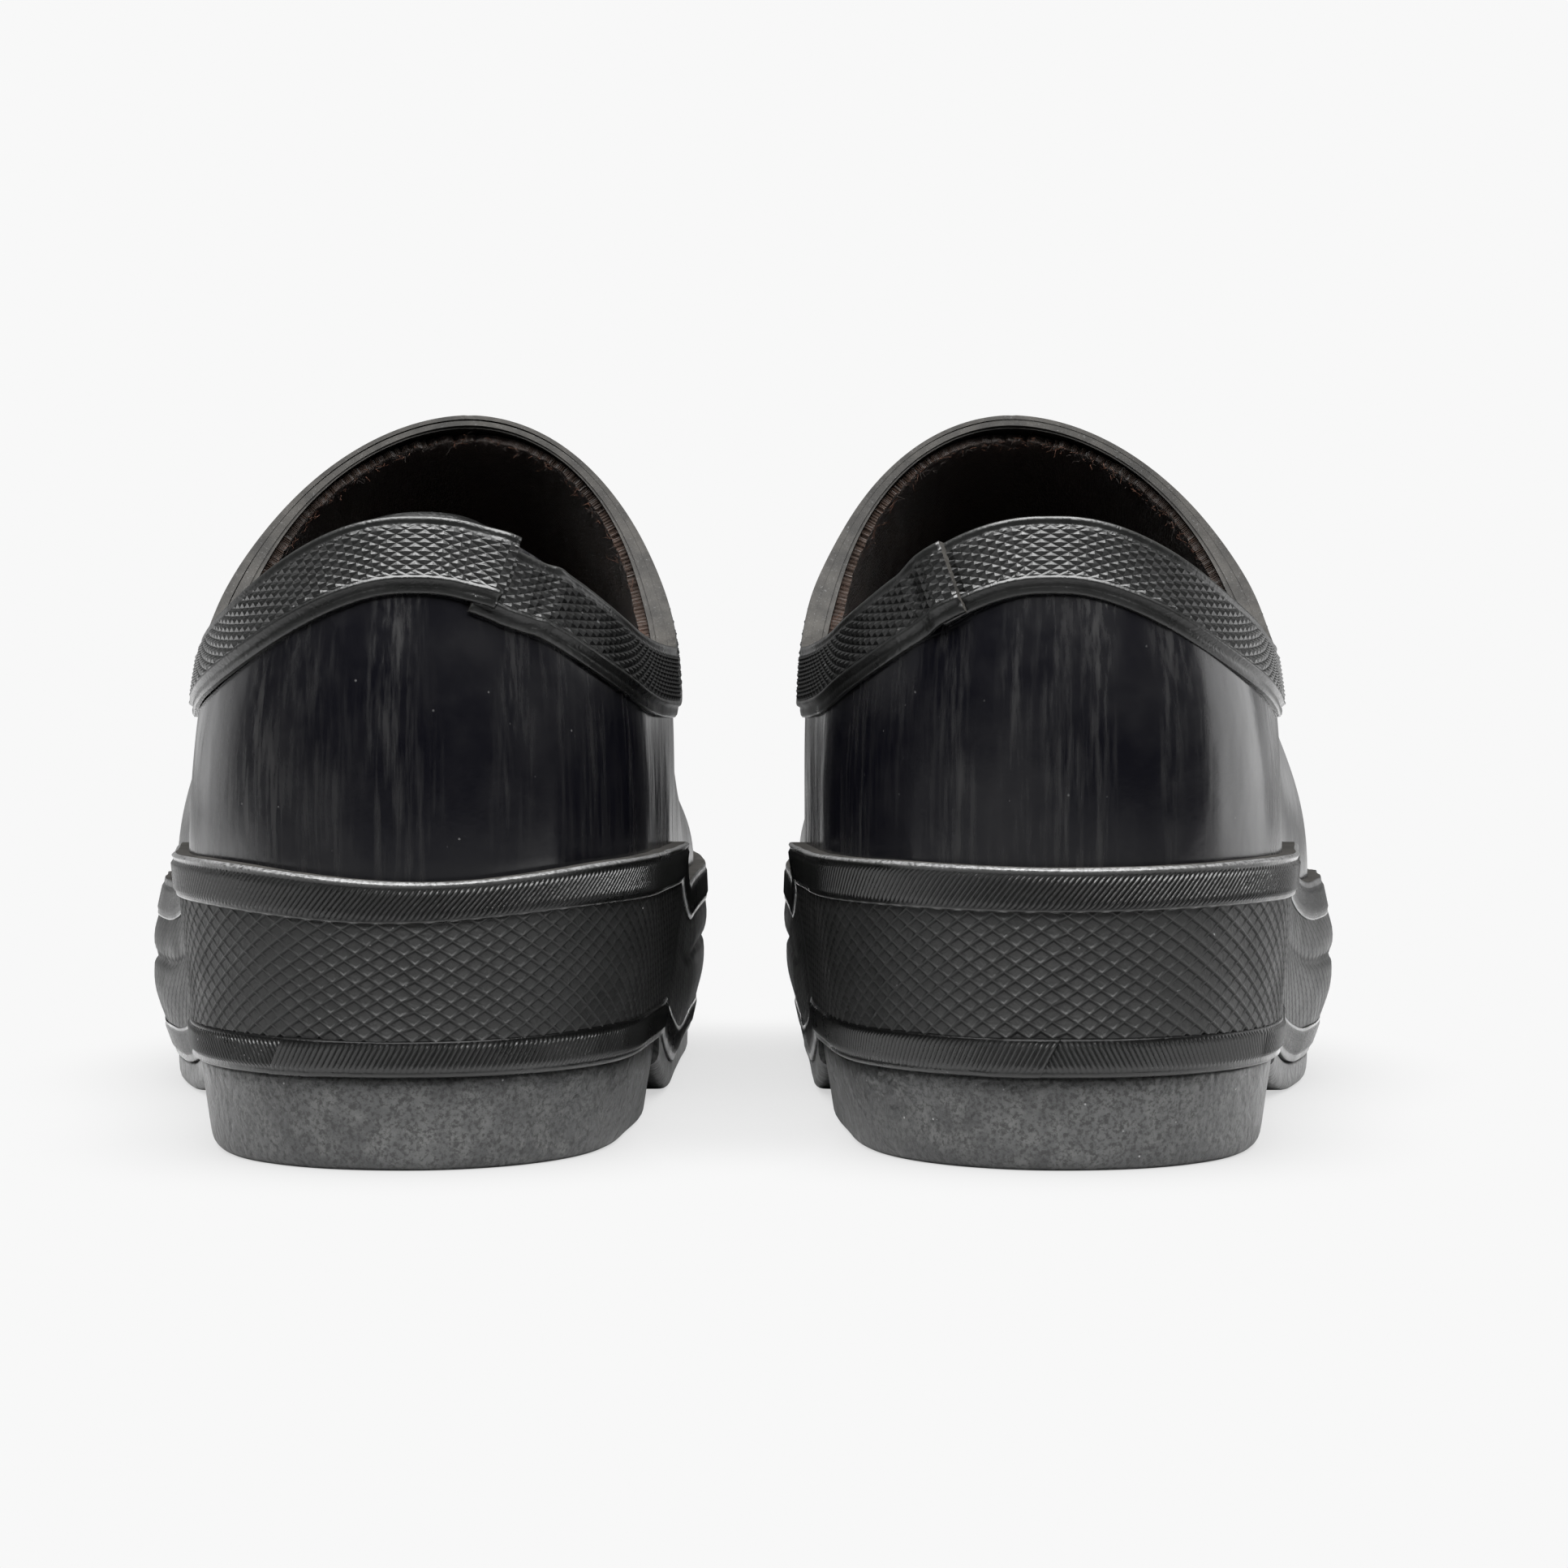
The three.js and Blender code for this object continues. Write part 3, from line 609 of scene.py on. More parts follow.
def make_gloss_rubber():
    """Near-black glossy rubber with a blue cast, wiped dust in upright streaks and small specks; it is
    scuffed dull round the throat."""
    g, v = new_material("gloss_rubber")
    dust = g.group(dust_group, Vector=v)
    film = g.math("ADD", g.times(dust["Streaks"], 0.8), g.times(dust["Patches"], 0.4), clamp=True)
    at = g.parts(v)
    dull = g.times(g.ramp(at["Y"], -0.064, -0.048), g.ramp(at["Z"], 0.078, 0.090))
    colour = g.blend(film, (0.0018, 0.0018, 0.003, 1), (0.015, 0.0147, 0.015, 1))
    colour = g.blend(dust["Specks"], colour, grey(0.06))
    colour = g.blend(g.times(dull, 0.8), colour, (0.022, 0.0205, 0.019, 1))
    rough = g.plus(g.ramp(film, 0.0, 0.7, 0.17, 0.36), g.times(dull, 0.38))
    specular = g.ramp(dull, 0.0, 1.0, 0.5, 0.12)
    ripple = g.noise(g.stretched(v, (60.0, 60.0, 25.0)), 1.0, 3.0)
    height = g.plus(ripple, g.times(g.noise(v, 900.0, 3.0), 0.03))
    return g.surface(colour, rough, (height, 0.35, 0.0012), Specular_IOR_Level=specular)


def make_embossed_rubber(name, rough, dusty):
    """Black moulded rubber of a given roughness and dustiness: finely grained; darker where its mark is
    low, a painted shade down in the grooves; lighter where it is high, on scuffed edges and as painted
    highlight on beads and ridges that face the top light; and chalky where it is over 1."""
    g, v = new_material(name)
    mark = g.add("ShaderNodeAttribute", {}, attribute_name="mark").outputs["Fac"]
    dust = g.group(dust_group, Vector=v)
    # Lighter on high marks: scuffing, and painted highlight on beads and ridges that catch the top light.
    worn_and_highlight = g.times(g.ramp(mark, 0.6, 1.0), g.ramp(g.noise(v, 55.0, 4.0), 0.3, 0.65))
    powder = g.ramp(g.noise(v, 1600.0, 3.0, 0.7), 0.38, 0.6, 0.15, 1.0)
    colour = g.blend(worn_and_highlight, (0.0048, 0.005, 0.0048, 1), (0.032, 0.0325, 0.030, 1))
    colour = g.blend(g.times(dust["Patches"], dusty), colour, grey(0.010))
    # Painted shade: low marks, down in the grooves, blend towards near-black.
    colour = g.blend(g.ramp(mark, 0.0, 0.35, 0.85, 0.0), colour, grey(0.0015))
    colour = g.blend(g.times(g.ramp(mark, 1.0, 1.4), powder), colour, grey(0.14))
    colour = g.blend(dust["Specks"], colour, grey(0.16))
    specular = g.ramp(mark, 0.0, 0.35, 0.12, 0.5)
    uneven = g.ramp(g.noise(v, 140.0, 4.0), 0.3, 0.7, rough - 0.06, rough + 0.1)
    grain = g.group(grain_group, Vector=v, Scale=1500.0)["Height"]
    return g.surface(colour, uneven, (grain, 0.45, 0.00012), Specular_IOR_Level=specular)


def make_cut_rubber():
    """The raw edge where rubber was trimmed: dark grey, faintly brown, matt and speckled."""
    g, v = new_material("cut_rubber")
    speck = g.noise(v, 2600.0, 3.0, 0.7)
    cloud = g.ramp(g.noise(v, 240.0, 3.0), 0.35, 0.65)
    colour = g.blend(cloud, (0.011, 0.0102, 0.009, 1), (0.028, 0.026, 0.023, 1))
    colour = g.blend(g.ramp(speck, 0.6, 0.75), colour, grey(0.08))
    return g.surface(colour, 0.7, (speck, 0.5, 0.0001), Specular_IOR_Level=0.25)


def make_sole_rubber():
    """Mid-grey sole rubber: satin, with a leathery crinkle, cloudy tone, dark flecks and pale specks."""
    g, v = new_material("sole_rubber")
    cloud = g.ramp(g.noise(v, 45.0, 6.0, 0.62), 0.38, 0.64)
    blot = g.noise(v, 260.0, 5.0, 0.65)
    fleck = g.ramp(g.noise(v, 1300.0, 4.0, 0.7), 0.46, 0.60, 0.0, 0.85)
    colour = g.blend(cloud, (0.019, 0.0195, 0.020, 1), (0.050, 0.051, 0.051, 1))
    colour = g.blend(g.ramp(blot, 0.45, 0.72), colour, (0.080, 0.081, 0.079, 1))
    colour = g.blend(fleck, colour, grey(0.006))
    colour = g.blend(g.group(dust_group, Vector=v)["Specks"], colour, grey(0.3))
    grain = g.group(grain_group, Vector=v, Scale=520.0)["Height"]
    return g.surface(colour, g.ramp(blot, 0.3, 0.7, 0.38, 0.55), (grain, 0.85, 0.0003))


def make_knit():
    """Brown-black brushed knit: loops in rows that follow the strip map, with stray rusty fibres."""
    g, v = new_material("lining_knit")
    strip_map = g.add("ShaderNodeUVMap", {}, uv_map="strip").outputs[0]
    rows = {"Vector": g.stretched(strip_map, (900.0, 900.0, 900.0)), "Scale": 1.0, "Distortion": 2.0,
            "Detail": 2.0, "Detail Scale": 2.0}
    loops = g.add("ShaderNodeTexWave", rows, bands_direction="DIAGONAL").outputs["Fac"]
    fuzz = g.noise(v, 1500.0, 5.0, 0.7)
    cloud = g.ramp(g.noise(v, 60.0, 4.0), 0.35, 0.7)
    colour = g.blend(cloud, (0.014, 0.008, 0.005, 1), (0.030, 0.016, 0.010, 1))
    colour = g.blend(g.ramp(fuzz, 0.58, 0.8), colour, (0.035, 0.017, 0.010, 1))
    height = g.plus(g.times(loops, 0.5), fuzz)
    return g.surface(colour, 1.0, (height, 0.9, 0.0008), Specular_IOR_Level=0.15, Sheen_Weight=0.12)


def make_fibre(name, colour):
    """A fibre of that colour, brighter in places."""
    g, v = new_material(name)
    bright = tuple(c * 2.2 for c in colour[:3]) + (1,)
    return g.surface(g.blend(g.noise(v, 220.0, 2.0), colour, bright), 0.85)


def make_grainy(name, stretch, scale, span, colours, rough, strength):
    """A hidden piece's material: one noise blends its two colours and roughens its face."""
    g, v = new_material(name)
    grain = g.noise(g.stretched(v, stretch), scale, 4.0, 0.7)
    return g.surface(g.blend(g.ramp(grain, *span), *colours), rough, (grain, strength, 0.0002))


def make_steel():
    """Blued spring steel with brushing along its length."""
    g, v = new_material("shank_steel")
    lines = g.noise(g.stretched(v, (900.0, 12.0, 900.0)), 1.0, 3.0)
    colour = g.blend(lines, (0.32, 0.33, 0.36, 1), (0.5, 0.5, 0.52, 1))
    return g.surface(colour, g.ramp(lines, 0.2, 0.8, 0.25, 0.45), Metallic=1.0)


gloss = make_gloss_rubber()
embossed = make_embossed_rubber("embossed_rubber", 0.3, 0.5)
netted = make_embossed_rubber("netted_rubber", 0.55, 0.2)
cut = make_cut_rubber()
sole = make_sole_rubber()
knit = make_knit()
rust_fibre = make_fibre("rust_fibre", (0.045, 0.016, 0.007, 1))
dark_fibre = make_fibre("dark_fibre", (0.012, 0.008, 0.006, 1))
board = make_grainy("fibre_board", (1.0, 0.3, 1.0), 700.0, (0.4, 0.7),
                    ((0.13, 0.08, 0.045, 1), (0.26, 0.17, 0.10, 1)), 0.9, 0.4)
filling = make_grainy("inner_rubber", (1.0, 1.0, 1.0), 900.0, (0.35, 0.7),
                      (grey(0.010), grey(0.026)), 0.8, 0.5)
slots = {"inner_rubber": filling, "fibre_board": board, "shank_steel": make_steel(), "lining_knit": knit,
         "gloss_rubber": gloss, "embossed_rubber": embossed, "sole_rubber": sole}
for name, node in frame["nodes"].items():
    wanted = next(p["material_slot"] for p in frame["record"]["subparts"] if p["node"] == name)
    node.data.materials.clear()
    node.data.materials.append(slots[wanted])


# ---- Upper ---------------------------------------------------------------------------------------
COLUMNS = 480
LAP_LINE = 17.5
# Depths of the layers' faces: along the heel and side, and round the throat.
UPPER_BACK = (-1.8, -1.15)
FACING = ((-1.82, -1.17), (-2.7, -1.5))
LINING = ((-2.75, -1.55), (-4.4, -2.9))


def even_columns(count):
    """s values spread evenly by length round the foxing's top."""
    s, q = round_foot(30.0)
    return np.interp(np.arange(count) / count * q[-1], q, s)


def climb(s, foot_rise, top_drop, rows):
    """Heights from foot_rise above the foxing's foot up to top_drop under the top edge, at even steps of
    length up the wall."""
    low = level(s, sole_line, foot_rise)
    high = top_height(s) - top_drop
    share = np.linspace(0, 1, 161)
    zs = mix(low[:, None], high[:, None], share[None])
    length = run(wall(s[:, None], zs))
    length /= length[:, -1:]
    wanted = np.linspace(0, 1, rows)
    return np.stack([np.interp(wanted, length[i], zs[i]) for i in range(len(s))])


def side_length(s, z):
    """Length round the heel from its centre, lateral side positive, at each point of the wall."""
    p = wall(s, z)
    return np.where(np.asarray(s) % 2 < 1, 1, -1) * np.hypot(p[..., 0], (p[..., 1] - heel_back(z)) * 0.9)


def throat_share(y):
    """0 along the heel and the dip, 1 round the throat, where every layer thins out."""
    return ease(y, 88, 104)


def make_upper(side):
    """Glossy shell: the wall from just under the foxing's top to the top edge, with hand-laid waviness
    and one raised lap line up the heel, a little to the lateral side."""
    s = even_columns(COLUMNS)
    z = climb(s, FOXING_HEIGHT - 6, 0.05, 84)
    s2 = np.broadcast_to(s[:, None], z.shape)
    p = wall(s2, z)
    heave = 0.16 * waves(11 + OWN[side], p[..., 0], p[..., 1], p[..., 2], count=9, low=0.03, high=0.13)
    lap = side_length(s2, z) - LAP_LINE - 0.03 * (z - 70)
    heel_only = 1 - ease(p[..., 1], 20, 34)
    raised = 0.22 * bump(lap, 0, 0.55) + 0.12 * ease(lap, -0.4, 0.4) * (1 - ease(lap, 4, 12))
    heave = heave + raised * heel_only
    outer = layer(s2, z, heave)
    inner = layer(s2, z, mix(*UPPER_BACK, throat_share(p[..., 1])))
    piece = solid(side, "upper_shell", outer, inner)
    return finish_piece(piece, side, "gloss_rubber", [gloss, cut], "upper")


# ---- Topline tape --------------------------------------------------------------------------------
PYRAMID = (2.9, 1.4)
TAPE_WIDTH = 12.0
FIELD = (1.3, 9.3)
TAPE_THICK = 1.3


def pyramids(u, w):
    """Height 0 to 1 of rhombic pyramids: one less twice the distance from the centre of the rhombus,
    in coordinates along its two sides. The second of these is returned as well."""
    a, b = u / PYRAMID[0] + w / PYRAMID[1], u / PYRAMID[0] - w / PYRAMID[1]
    return 1 - 2 * np.maximum(np.abs(a % 1 - 0.5), np.abs(b % 1 - 0.5)), b


def valley_splits(b):
    """True for each grid square that is split along its first diagonal, where a valley runs along it."""
    whole = np.abs(b - np.round(b)) < 1e-3
    return whole[:-1, :-1] & whole[1:, 1:]


def tape_profile(w):
    """Height of the tape's face without its pyramids: soft top bead, a rib under the field, thin flange."""
    return (0.16 * bump(w, 0.5, 0.4) - 0.1 * bump(w, FIELD[0] - 0.1, 0.25)
            + 0.3 * bump(w, FIELD[1] + 0.45, 0.42)
            - 0.5 * ease(w, FIELD[1] + 0.7, FIELD[1] + 1.1) + 0.1 * bump(w, TAPE_WIDTH - 0.9, 0.5)
            - 0.35 * ease(w, TAPE_WIDTH - 0.5, TAPE_WIDTH))


LAPS = {"left": {"under": -11.0, "over": -16.5, "heel_over": True},
        "right": {"under": -22.0, "over": -17.0, "heel_over": False}}


def make_tape(side):
    """Embossed band round the top edge, one strip whose two ends lap beside the heel. q is the length
    along the edge and w the depth below it; the lapping end climbs over the other with a short ramp."""
    lap = LAPS[side]
    du, dw = PYRAMID[0] / 4, PYRAMID[1] / 4
    if lap["heel_over"]:
        q0, q1 = lap["over"], EDGE + lap["under"]
    else:
        q0, q1 = lap["under"], EDGE + lap["over"]
    q = np.arange(int(q0 / du), int(q1 / du) + 1) * du
    field = np.arange(math.ceil(FIELD[0] / dw), int(FIELD[1] / dw) + 1) * dw
    flange = field[-1] + np.array([0.2, 0.4, 0.65, 0.9, 1.3, 1.9])
    w = np.concatenate([[0, 0.2, 0.45, 0.75, 1.05], field, flange, [TAPE_WIDTH - 0.35, TAPE_WIDTH]])
    s, z = below_edge(q, w)
    q2, w2 = np.broadcast_arrays(q[:, None], w[None])
    relief, b = pyramids(q2, w2)
    inside = (w2 >= FIELD[0]) & (w2 <= FIELD[1])
    relief = relief * np.clip((w2 - FIELD[0]) / 0.5, 0, 1) * np.clip((FIELD[1] - w2) / 0.4, 0, 1)
    if lap["heel_over"]:
        lift = 1.45 * (1 - ease(q2, lap["under"] - 4, lap["under"] + 1.5))
        drop = 1.6 * ease(q2, EDGE - 28, EDGE - 17)
    else:
        lift = 1.5 * ease(q2, EDGE + lap["under"] - 3.2, EDGE + lap["under"] + 0.6)
        drop = 0 * q2
    crease = 0.35 * waves(5, q2 * 0.9, w2 * 0.25, count=4, low=0.6, high=1.4)
    wrinkle = crease * bump(q2, EDGE - 25, 3.5)
    slack = 0.12 * waves(7 + OWN[side], q2 * 0.11, w2 * 0.05, count=5)
    throat = throat_share(wall(s, z)[..., 1])
    base = 0.2 + lift + wrinkle + slack
    thin = 1 - 0.6 * throat
    base = mix(base, 0.2, throat)
    height = base + (TAPE_THICK + tape_profile(w2)) * thin + np.where(inside, 0.42 * relief * thin, 0)
    z = z - drop
    outer = layer(s, z, height)
    inner = layer(s, z, base - 0.2)
    # Painted highlight with scuffing: the top bead and the rib under the field get high marks and come out
    # lighter.
    edges = PLAIN + 0.35 * bump(w2, 0.2, 0.3) + 0.15 * bump(w2, FIELD[1] + 0.45, 0.4)
    marks = np.where(inside, 0.45 + 0.15 * relief, edges)
    flat = inside[:-1, :-1] & inside[1:, 1:]
    piece = solid(side, "topline_band", outer[:, ::-1], inner[:, ::-1], closed=False,
                  uv=np.stack([q2, w2], -1)[:, ::-1] * MM, marks=marks[:, ::-1],
                  splits=~valley_splits(b)[:, ::-1], flat=flat[:, ::-1])
    return finish_piece(piece, side, "embossed_rubber", [embossed, cut], "topline_tape")


# ---- Foxing --------------------------------------------------------------------------------------
CELL = (3.5, 2.62)
NET = (3.4, 28.6)
BASE_OUT = 2.0
NET_CREST = 0.33
# Rings inside a cell: share of the way to its middle, height and mark, each at its lower, right, upper and
# left corner. The low marks at the upper corners, and less so at the sides, are painted shade, the shadow
# under the cell's upper ridges.
NET_RINGS = (((0.08, 0.08, 0.08, 0.08), (0.31, 0.29, 0.28, 0.29), (0.55, 0.3, 0.15, 0.3)),
             ((0.2, 0.26, 0.32, 0.26), (0.25, 0.10, 0.0, 0.10), (0.5, 0.15, 0.0, 0.15)),
             ((0.45, 0.48, 0.5, 0.48), (0.19, 0.11, 0.03, 0.11), (0.5, 0.5, 0.42, 0.5)))


def foxing_rolls(rise, y):
    """The foxing's two soft rolls and the groove between them, along the forepart."""
    rolls = 0.5 * bump(rise, 12.5, 4.5) - 0.9 * bump(rise, 18.6, 1.0) + 0.45 * bump(rise, 23, 3.0)
    return forepart(y) * rolls


def make_net(side):
    """Raised net of rhombic cells. Each cell has its four corners on the ridges and three smaller rings of
    four inside it: steep under its upper ridges, and its floor rising gently to its lower ones. The
    lattice is bent round the foxing as one strip."""
    around = int(round(FOOT / CELL[0]))
    pitch = FOOT / around
    rows = np.arange(math.floor(NET[0] / CELL[1] * 2), math.ceil(NET[1] / CELL[1] * 2) + 1)
    i, j = np.meshgrid(np.arange(around * 2), rows, indexing="ij")
    number = -np.ones((around * 2, len(rows)), int)
    seed = 21 + OWN[side]
    lattice_q, lattice_r = i * pitch / 2, j * CELL[1] / 2
    lattice_r = lattice_r + 0.35 * waves(seed, lattice_q * 0.045, lattice_r * 0.02, count=4)
    lattice_q = lattice_q + 0.5 * waves(seed + 5, lattice_q * 0.02, lattice_r * 0.16, count=4)
    corner = (i + j) % 2 == 0
    number[corner] = np.arange(corner.sum())
    centres = ~corner[:, 1:-1]
    ci, cj = np.nonzero(centres)
    cj = cj + 1
    ring_i = np.stack([ci, ci + 1, ci, ci - 1], -1) % (around * 2)
    ring_j = np.stack([cj - 1, cj, cj + 1, cj], -1)
    ring_number = number[ring_i, ring_j]
    mid_q, mid_r = lattice_q[ci, cj], lattice_r[ci, cj]
    ring_q, ring_r = lattice_q[ring_i, ring_j], lattice_r[ring_i, ring_j]
    turn = around * pitch
    ring_q = ring_q - turn * np.round((ring_q - mid_q[:, None]) / turn)
    spread = 1 + 0.12 * waves(seed + 9, mid_q * 0.9, mid_r * 0.7, count=5)
    qs, rs, hs = [lattice_q[corner]], [lattice_r[corner]], [np.full(corner.sum(), NET_CREST)]
    for shares, heights, _ in NET_RINGS:
        inset = np.array(shares) * spread[:, None]
        qs.append(mix(ring_q, mid_q[:, None], inset).ravel())
        rs.append(mix(ring_r, mid_r[:, None], inset).ravel())
        hs.append(np.broadcast_to(heights, ring_q.shape).ravel())
    q, rise, h = np.concatenate(qs), np.concatenate(rs), np.concatenate(hs)
    s = foot_at(q)
    y = wall(s, level(s, sole_line, rise))[:, 1]
    fade = ease(rise, NET[0] - 1.5, NET[0] + 0.5) * (1 - ease(rise, NET[1] - 0.5, NET[1] + 1.5))
    uneven = 0.10 * waves(seed + 2, q * 0.05, rise * 0.12, count=6)
    depth = (0.55 + 0.45 * fade) * (1 - 0.65 * ease(y, 84, 110))
    points = rim(s, sagging(side, q, rise), BASE_OUT + h * depth + foxing_rolls(rise, y) + uneven)
    first = corner.sum()
    count = len(ci)
    rings = [ring_number] + [first + k * count * 4 + np.arange(count * 4).reshape(-1, 4) for k in range(3)]
    faces = [rings[3]]
    for a, b in zip(rings[:-1], rings[1:]):
        for k in range(4):
            n = (k + 1) % 4
            faces.append(np.stack([a[:, k], a[:, n], b[:, n], b[:, k]], -1))
    # Ridge crossings are lighter in random patches, more so towards the top: scuffing, and painted
    # highlight where the upper ridges catch the top light.
    patches = 0.5 + 0.5 * waves(seed + 3, lattice_q[corner], count=5)
    ridge_scuff_and_highlight = 0.6 + 0.45 * ease(lattice_r[corner], 13, 24) * patches
    # Marks: painted highlight on the upper ridge crossings, painted shade under each cell's upper ridges.
    values = np.concatenate([ridge_scuff_and_highlight] + [np.tile(v, count) for _, _, v in NET_RINGS])
    coords = np.stack([q, rise], -1) * MM
    piece = build(side, "foxing_net", points, np.concatenate(faces), values=values, coords=coords)
    return finish_piece(piece, side, "embossed_rubber", [netted], "foxing")


SAG = {"left": 3.1, "right": 0.9}
FOOT_SEAM = {"left": 14.0, "right": -8.0}


def sagging(side, q, rise):
    """The rise where a strip really lies: the top of the foxing was laid low over the heel's centre, and
    the foot keeps its place."""
    turn = q - FOOT * np.round(q / FOOT)
    return rise - SAG[side] * bump(turn, 0, 24) * rise / FOXING_HEIGHT


def ribbed_tape(side, name, node, rises, field, beads, pitch, slant, out, seam, seed, turn_back, chalk_and_shade):
    """A slant-ribbed tape: columns four to a rib, rows up the tape; each row is moved along by the slant,
    so the ribs lean. Its ends lap at the seam, and past it the ribs lean the other way for turn_back mm.
    chalk is how scuffed and chalky its lower and upper margins are; below 0 it darkens them instead, a
    painted shade, as along the foot band's top under the net. The low marks in the valleys between the ribs
    are painted shade too."""
    columns = int(round(FOOT / pitch)) * 4
    step = FOOT / columns
    index = np.arange(columns + 29)
    q = index * step
    height = np.array([0.0, 0.75, 1.0, 0.55])[index % 4]
    rise = np.concatenate([np.linspace(rises[0], field[0], beads[0]), np.linspace(*field, 9)[1:-1],
                           np.linspace(field[1], rises[1], beads[1])])
    q2, r2 = np.broadcast_arrays(q[:, None], rise[None])
    middle = sum(field) / 2
    inside = ease(r2, field[0] - 0.05, field[0] + 0.5) * (1 - ease(r2, field[1] - 0.5, field[1] + 0.05))
    side_of_seam = 1 - 2 * (1 - ease(q2, turn_back - 2, turn_back + 2)) if turn_back else 1
    lean = (r2 - middle) * slant * SIDES[side] * side_of_seam
    end = 0.7 * ease(q2, FOOT - 5, FOOT - 1)
    s = foot_at(q2 + seam)
    fade = 1 - 0.8 * ease(wall(s, level(s, sole_line, r2))[..., 1], 72, 98)
    uneven = 0.10 * waves(seed, q2 * 0.06, r2 * 0.2, count=5)
    edge = 0.12 * bump(r2, rises[0] + 0.3, 0.25)
    if chalk_and_shade[1] > 0:
        edge = 0.24 * bump(r2, rises[1] - 0.4, 0.35) + edge
    taper = -0.5 * ease(-np.minimum(r2 - rises[0], rises[1] - r2), -0.35, 0)
    ragged = 0.09 * waves(seed + 3, q2 * 0.35, count=6) * (r2 > rises[1] - 0.1)
    s = foot_at(q2 + seam + lean)
    ribs = 0.5 * np.broadcast_to(height[:, None], q2.shape) * inside
    d = out + 0.2 + 0.3 * fade + end + uneven + edge * fade + taper * fade + ribs * (0.4 + 0.6 * fade)
    rise_at = sagging(side, q2 + seam, r2 + ragged)
    outer = rim(s, rise_at, d)
    back = [rim(s[:, k], rise_at[:, k], np.full(len(s), -0.25)) for k in (0, -1)]
    dashes = 0.5 + 0.5 * np.sin(2 * math.pi * q2 / CELL[0] + 0.5 * waves(seed + 4, q2 * 0.2, count=4))
    # Chalky, lighter margins where the values are over 0; a value below 0 gives the margin painted shade.
    chalk_and_shade_mark = (chalk_and_shade[1] * ease(r2, rises[1] - 0.8, rises[1] - 0.55)
            + chalk_and_shade[0] * dashes * (1 - ease(r2, rises[0] + 0.3, rises[0] + 0.5)))
    # Painted shade: the valleys between the ribs get the lowest marks and come out darker.
    marks = np.where(inside > 0.5, 0.12 + 0.45 * height[:, None], PLAIN + chalk_and_shade_mark * (fade - 0.2) / 0.8)
    piece = strip(side, name, outer, back, np.stack([q2, r2], -1) * MM, marks)
    return finish_piece(piece, side, "embossed_rubber", [embossed, cut if chalk_and_shade[1] > 0 else embossed], node)


def make_rib_tapes(side):
    """The tape over the foxing's top edge and the one over its foot."""
    ribbed_tape(side, "top_rib_band", "top_rib_tape", (26.3, 33.4), (27.0, 32.3), (4, 6), 0.84, 0.72,
                BASE_OUT + 0.2, 190.0, 31, 0, (0.9, 0.9))
    # The last value below 0 paints shade along the foot band's top, under the net.
    ribbed_tape(side, "foot_rib_band", "bottom_rib_tape", (-0.1, 6.3), (1.1, 5.7), (4, 4), 0.87, 0.5,
                BASE_OUT + 0.1, FOOT_SEAM[side], 33, 48.0, (0.15, -0.5))


# ---- Soles ---------------------------------------------------------------------------------------
def make_heel_block(side):
    """Solid of stacked outlines: the wall's outline moved out, narrowing a little towards the ground,
    with a rounded bottom edge; the front is a flat face joined to the outline by rounded corners."""
    end = outline_s(HEEL_LENGTH / LENGTH)
    s = np.linspace(-end, end, 181)
    heights = np.array([14.9, 14.2, 12.0, 9.0, 6.0, 3.5, 2.0, 1.2, 0.6, 0.25, 0.05, 0.0])
    edge = np.array([0.5, 0.1, 0, 0, 0, 0, 0.05, 0.2, 0.5, 0.85, 1.25, 1.7])
    drafts = mix(-0.9, 1.5, heights / HEEL_HEIGHT) - edge
    zs = level(s, sole_line, 0)
    back = wall(s, zs)
    n = level_unit(outward(s, zs))
    t = np.linspace(0, 1, 42)[1:-1, None]
    rows = []
    for h, d in zip(heights, drafts):
        ring = back + n * d
        front = mix(ring[-1], ring[0], t) - np.array([0, 1, 0]) * (0.8 * np.sin(math.pi * t))
        ring = np.concatenate([ring, front])
        ring[:, 2] = h
        rows.append(ring)
    rows = np.stack(rows, 1)
    dent = 0.12 * waves(41, rows[..., 0] * 0.11, rows[..., 1] * 0.11, rows[..., 2] * 0.3, count=7)
    middle = rows.mean(0, keepdims=True)
    rows = rows + level_unit(rows - middle) * dent[..., None]
    return capped(side, "heel", rows[:, ::-1], "heel_block")


def capped(side, name, rows, node):
    """A solid from rings of points (around, rows, 3), rows from the bottom up, closed by two fans of quads
    towards a line along its middle."""
    count, levels = rows.shape[:2]
    faces = [grid_faces(count, levels, True)]
    points = [rows.reshape(-1, 3)]
    total = count * levels
    for r, flip in ((0, True), (levels - 1, False)):
        ring = rows[:, r]
        spine = ring.copy()
        spine[:, 0] = ring[:, 0].mean()
        low, high = ring[:, 1].min(), ring[:, 1].max()
        spine[:, 1] = np.clip(ring[:, 1], mix(low, high, 0.3), mix(low, high, 0.7))
        inner = [mix(spine, ring, k) for k in (0.94, 0.8, 0.55, 0.25)] + [spine]
        previous = np.arange(count) * levels + r
        for loop in inner:
            points.append(loop)
            here = total + np.arange(count)
            total += count
            quads = np.stack([previous, np.roll(previous, -1), np.roll(here, -1), here], -1)
            faces.append(quads[:, ::-1] if flip else quads)
            previous = here
    piece = build(side, name, np.concatenate(points), np.concatenate(faces))
    weld(piece)
    return finish_piece(piece, side, "sole_rubber", [sole], node)


def weld(piece):
    """Joins points that fall together and drops the faces that collapse."""
    bm = bmesh.new()
    bm.from_mesh(piece.data)
    bmesh.ops.remove_doubles(bm, verts=bm.verts, dist=2e-6)
    bmesh.ops.recalc_face_normals(bm, faces=bm.faces)
    bm.to_mesh(piece.data)
    bm.free()


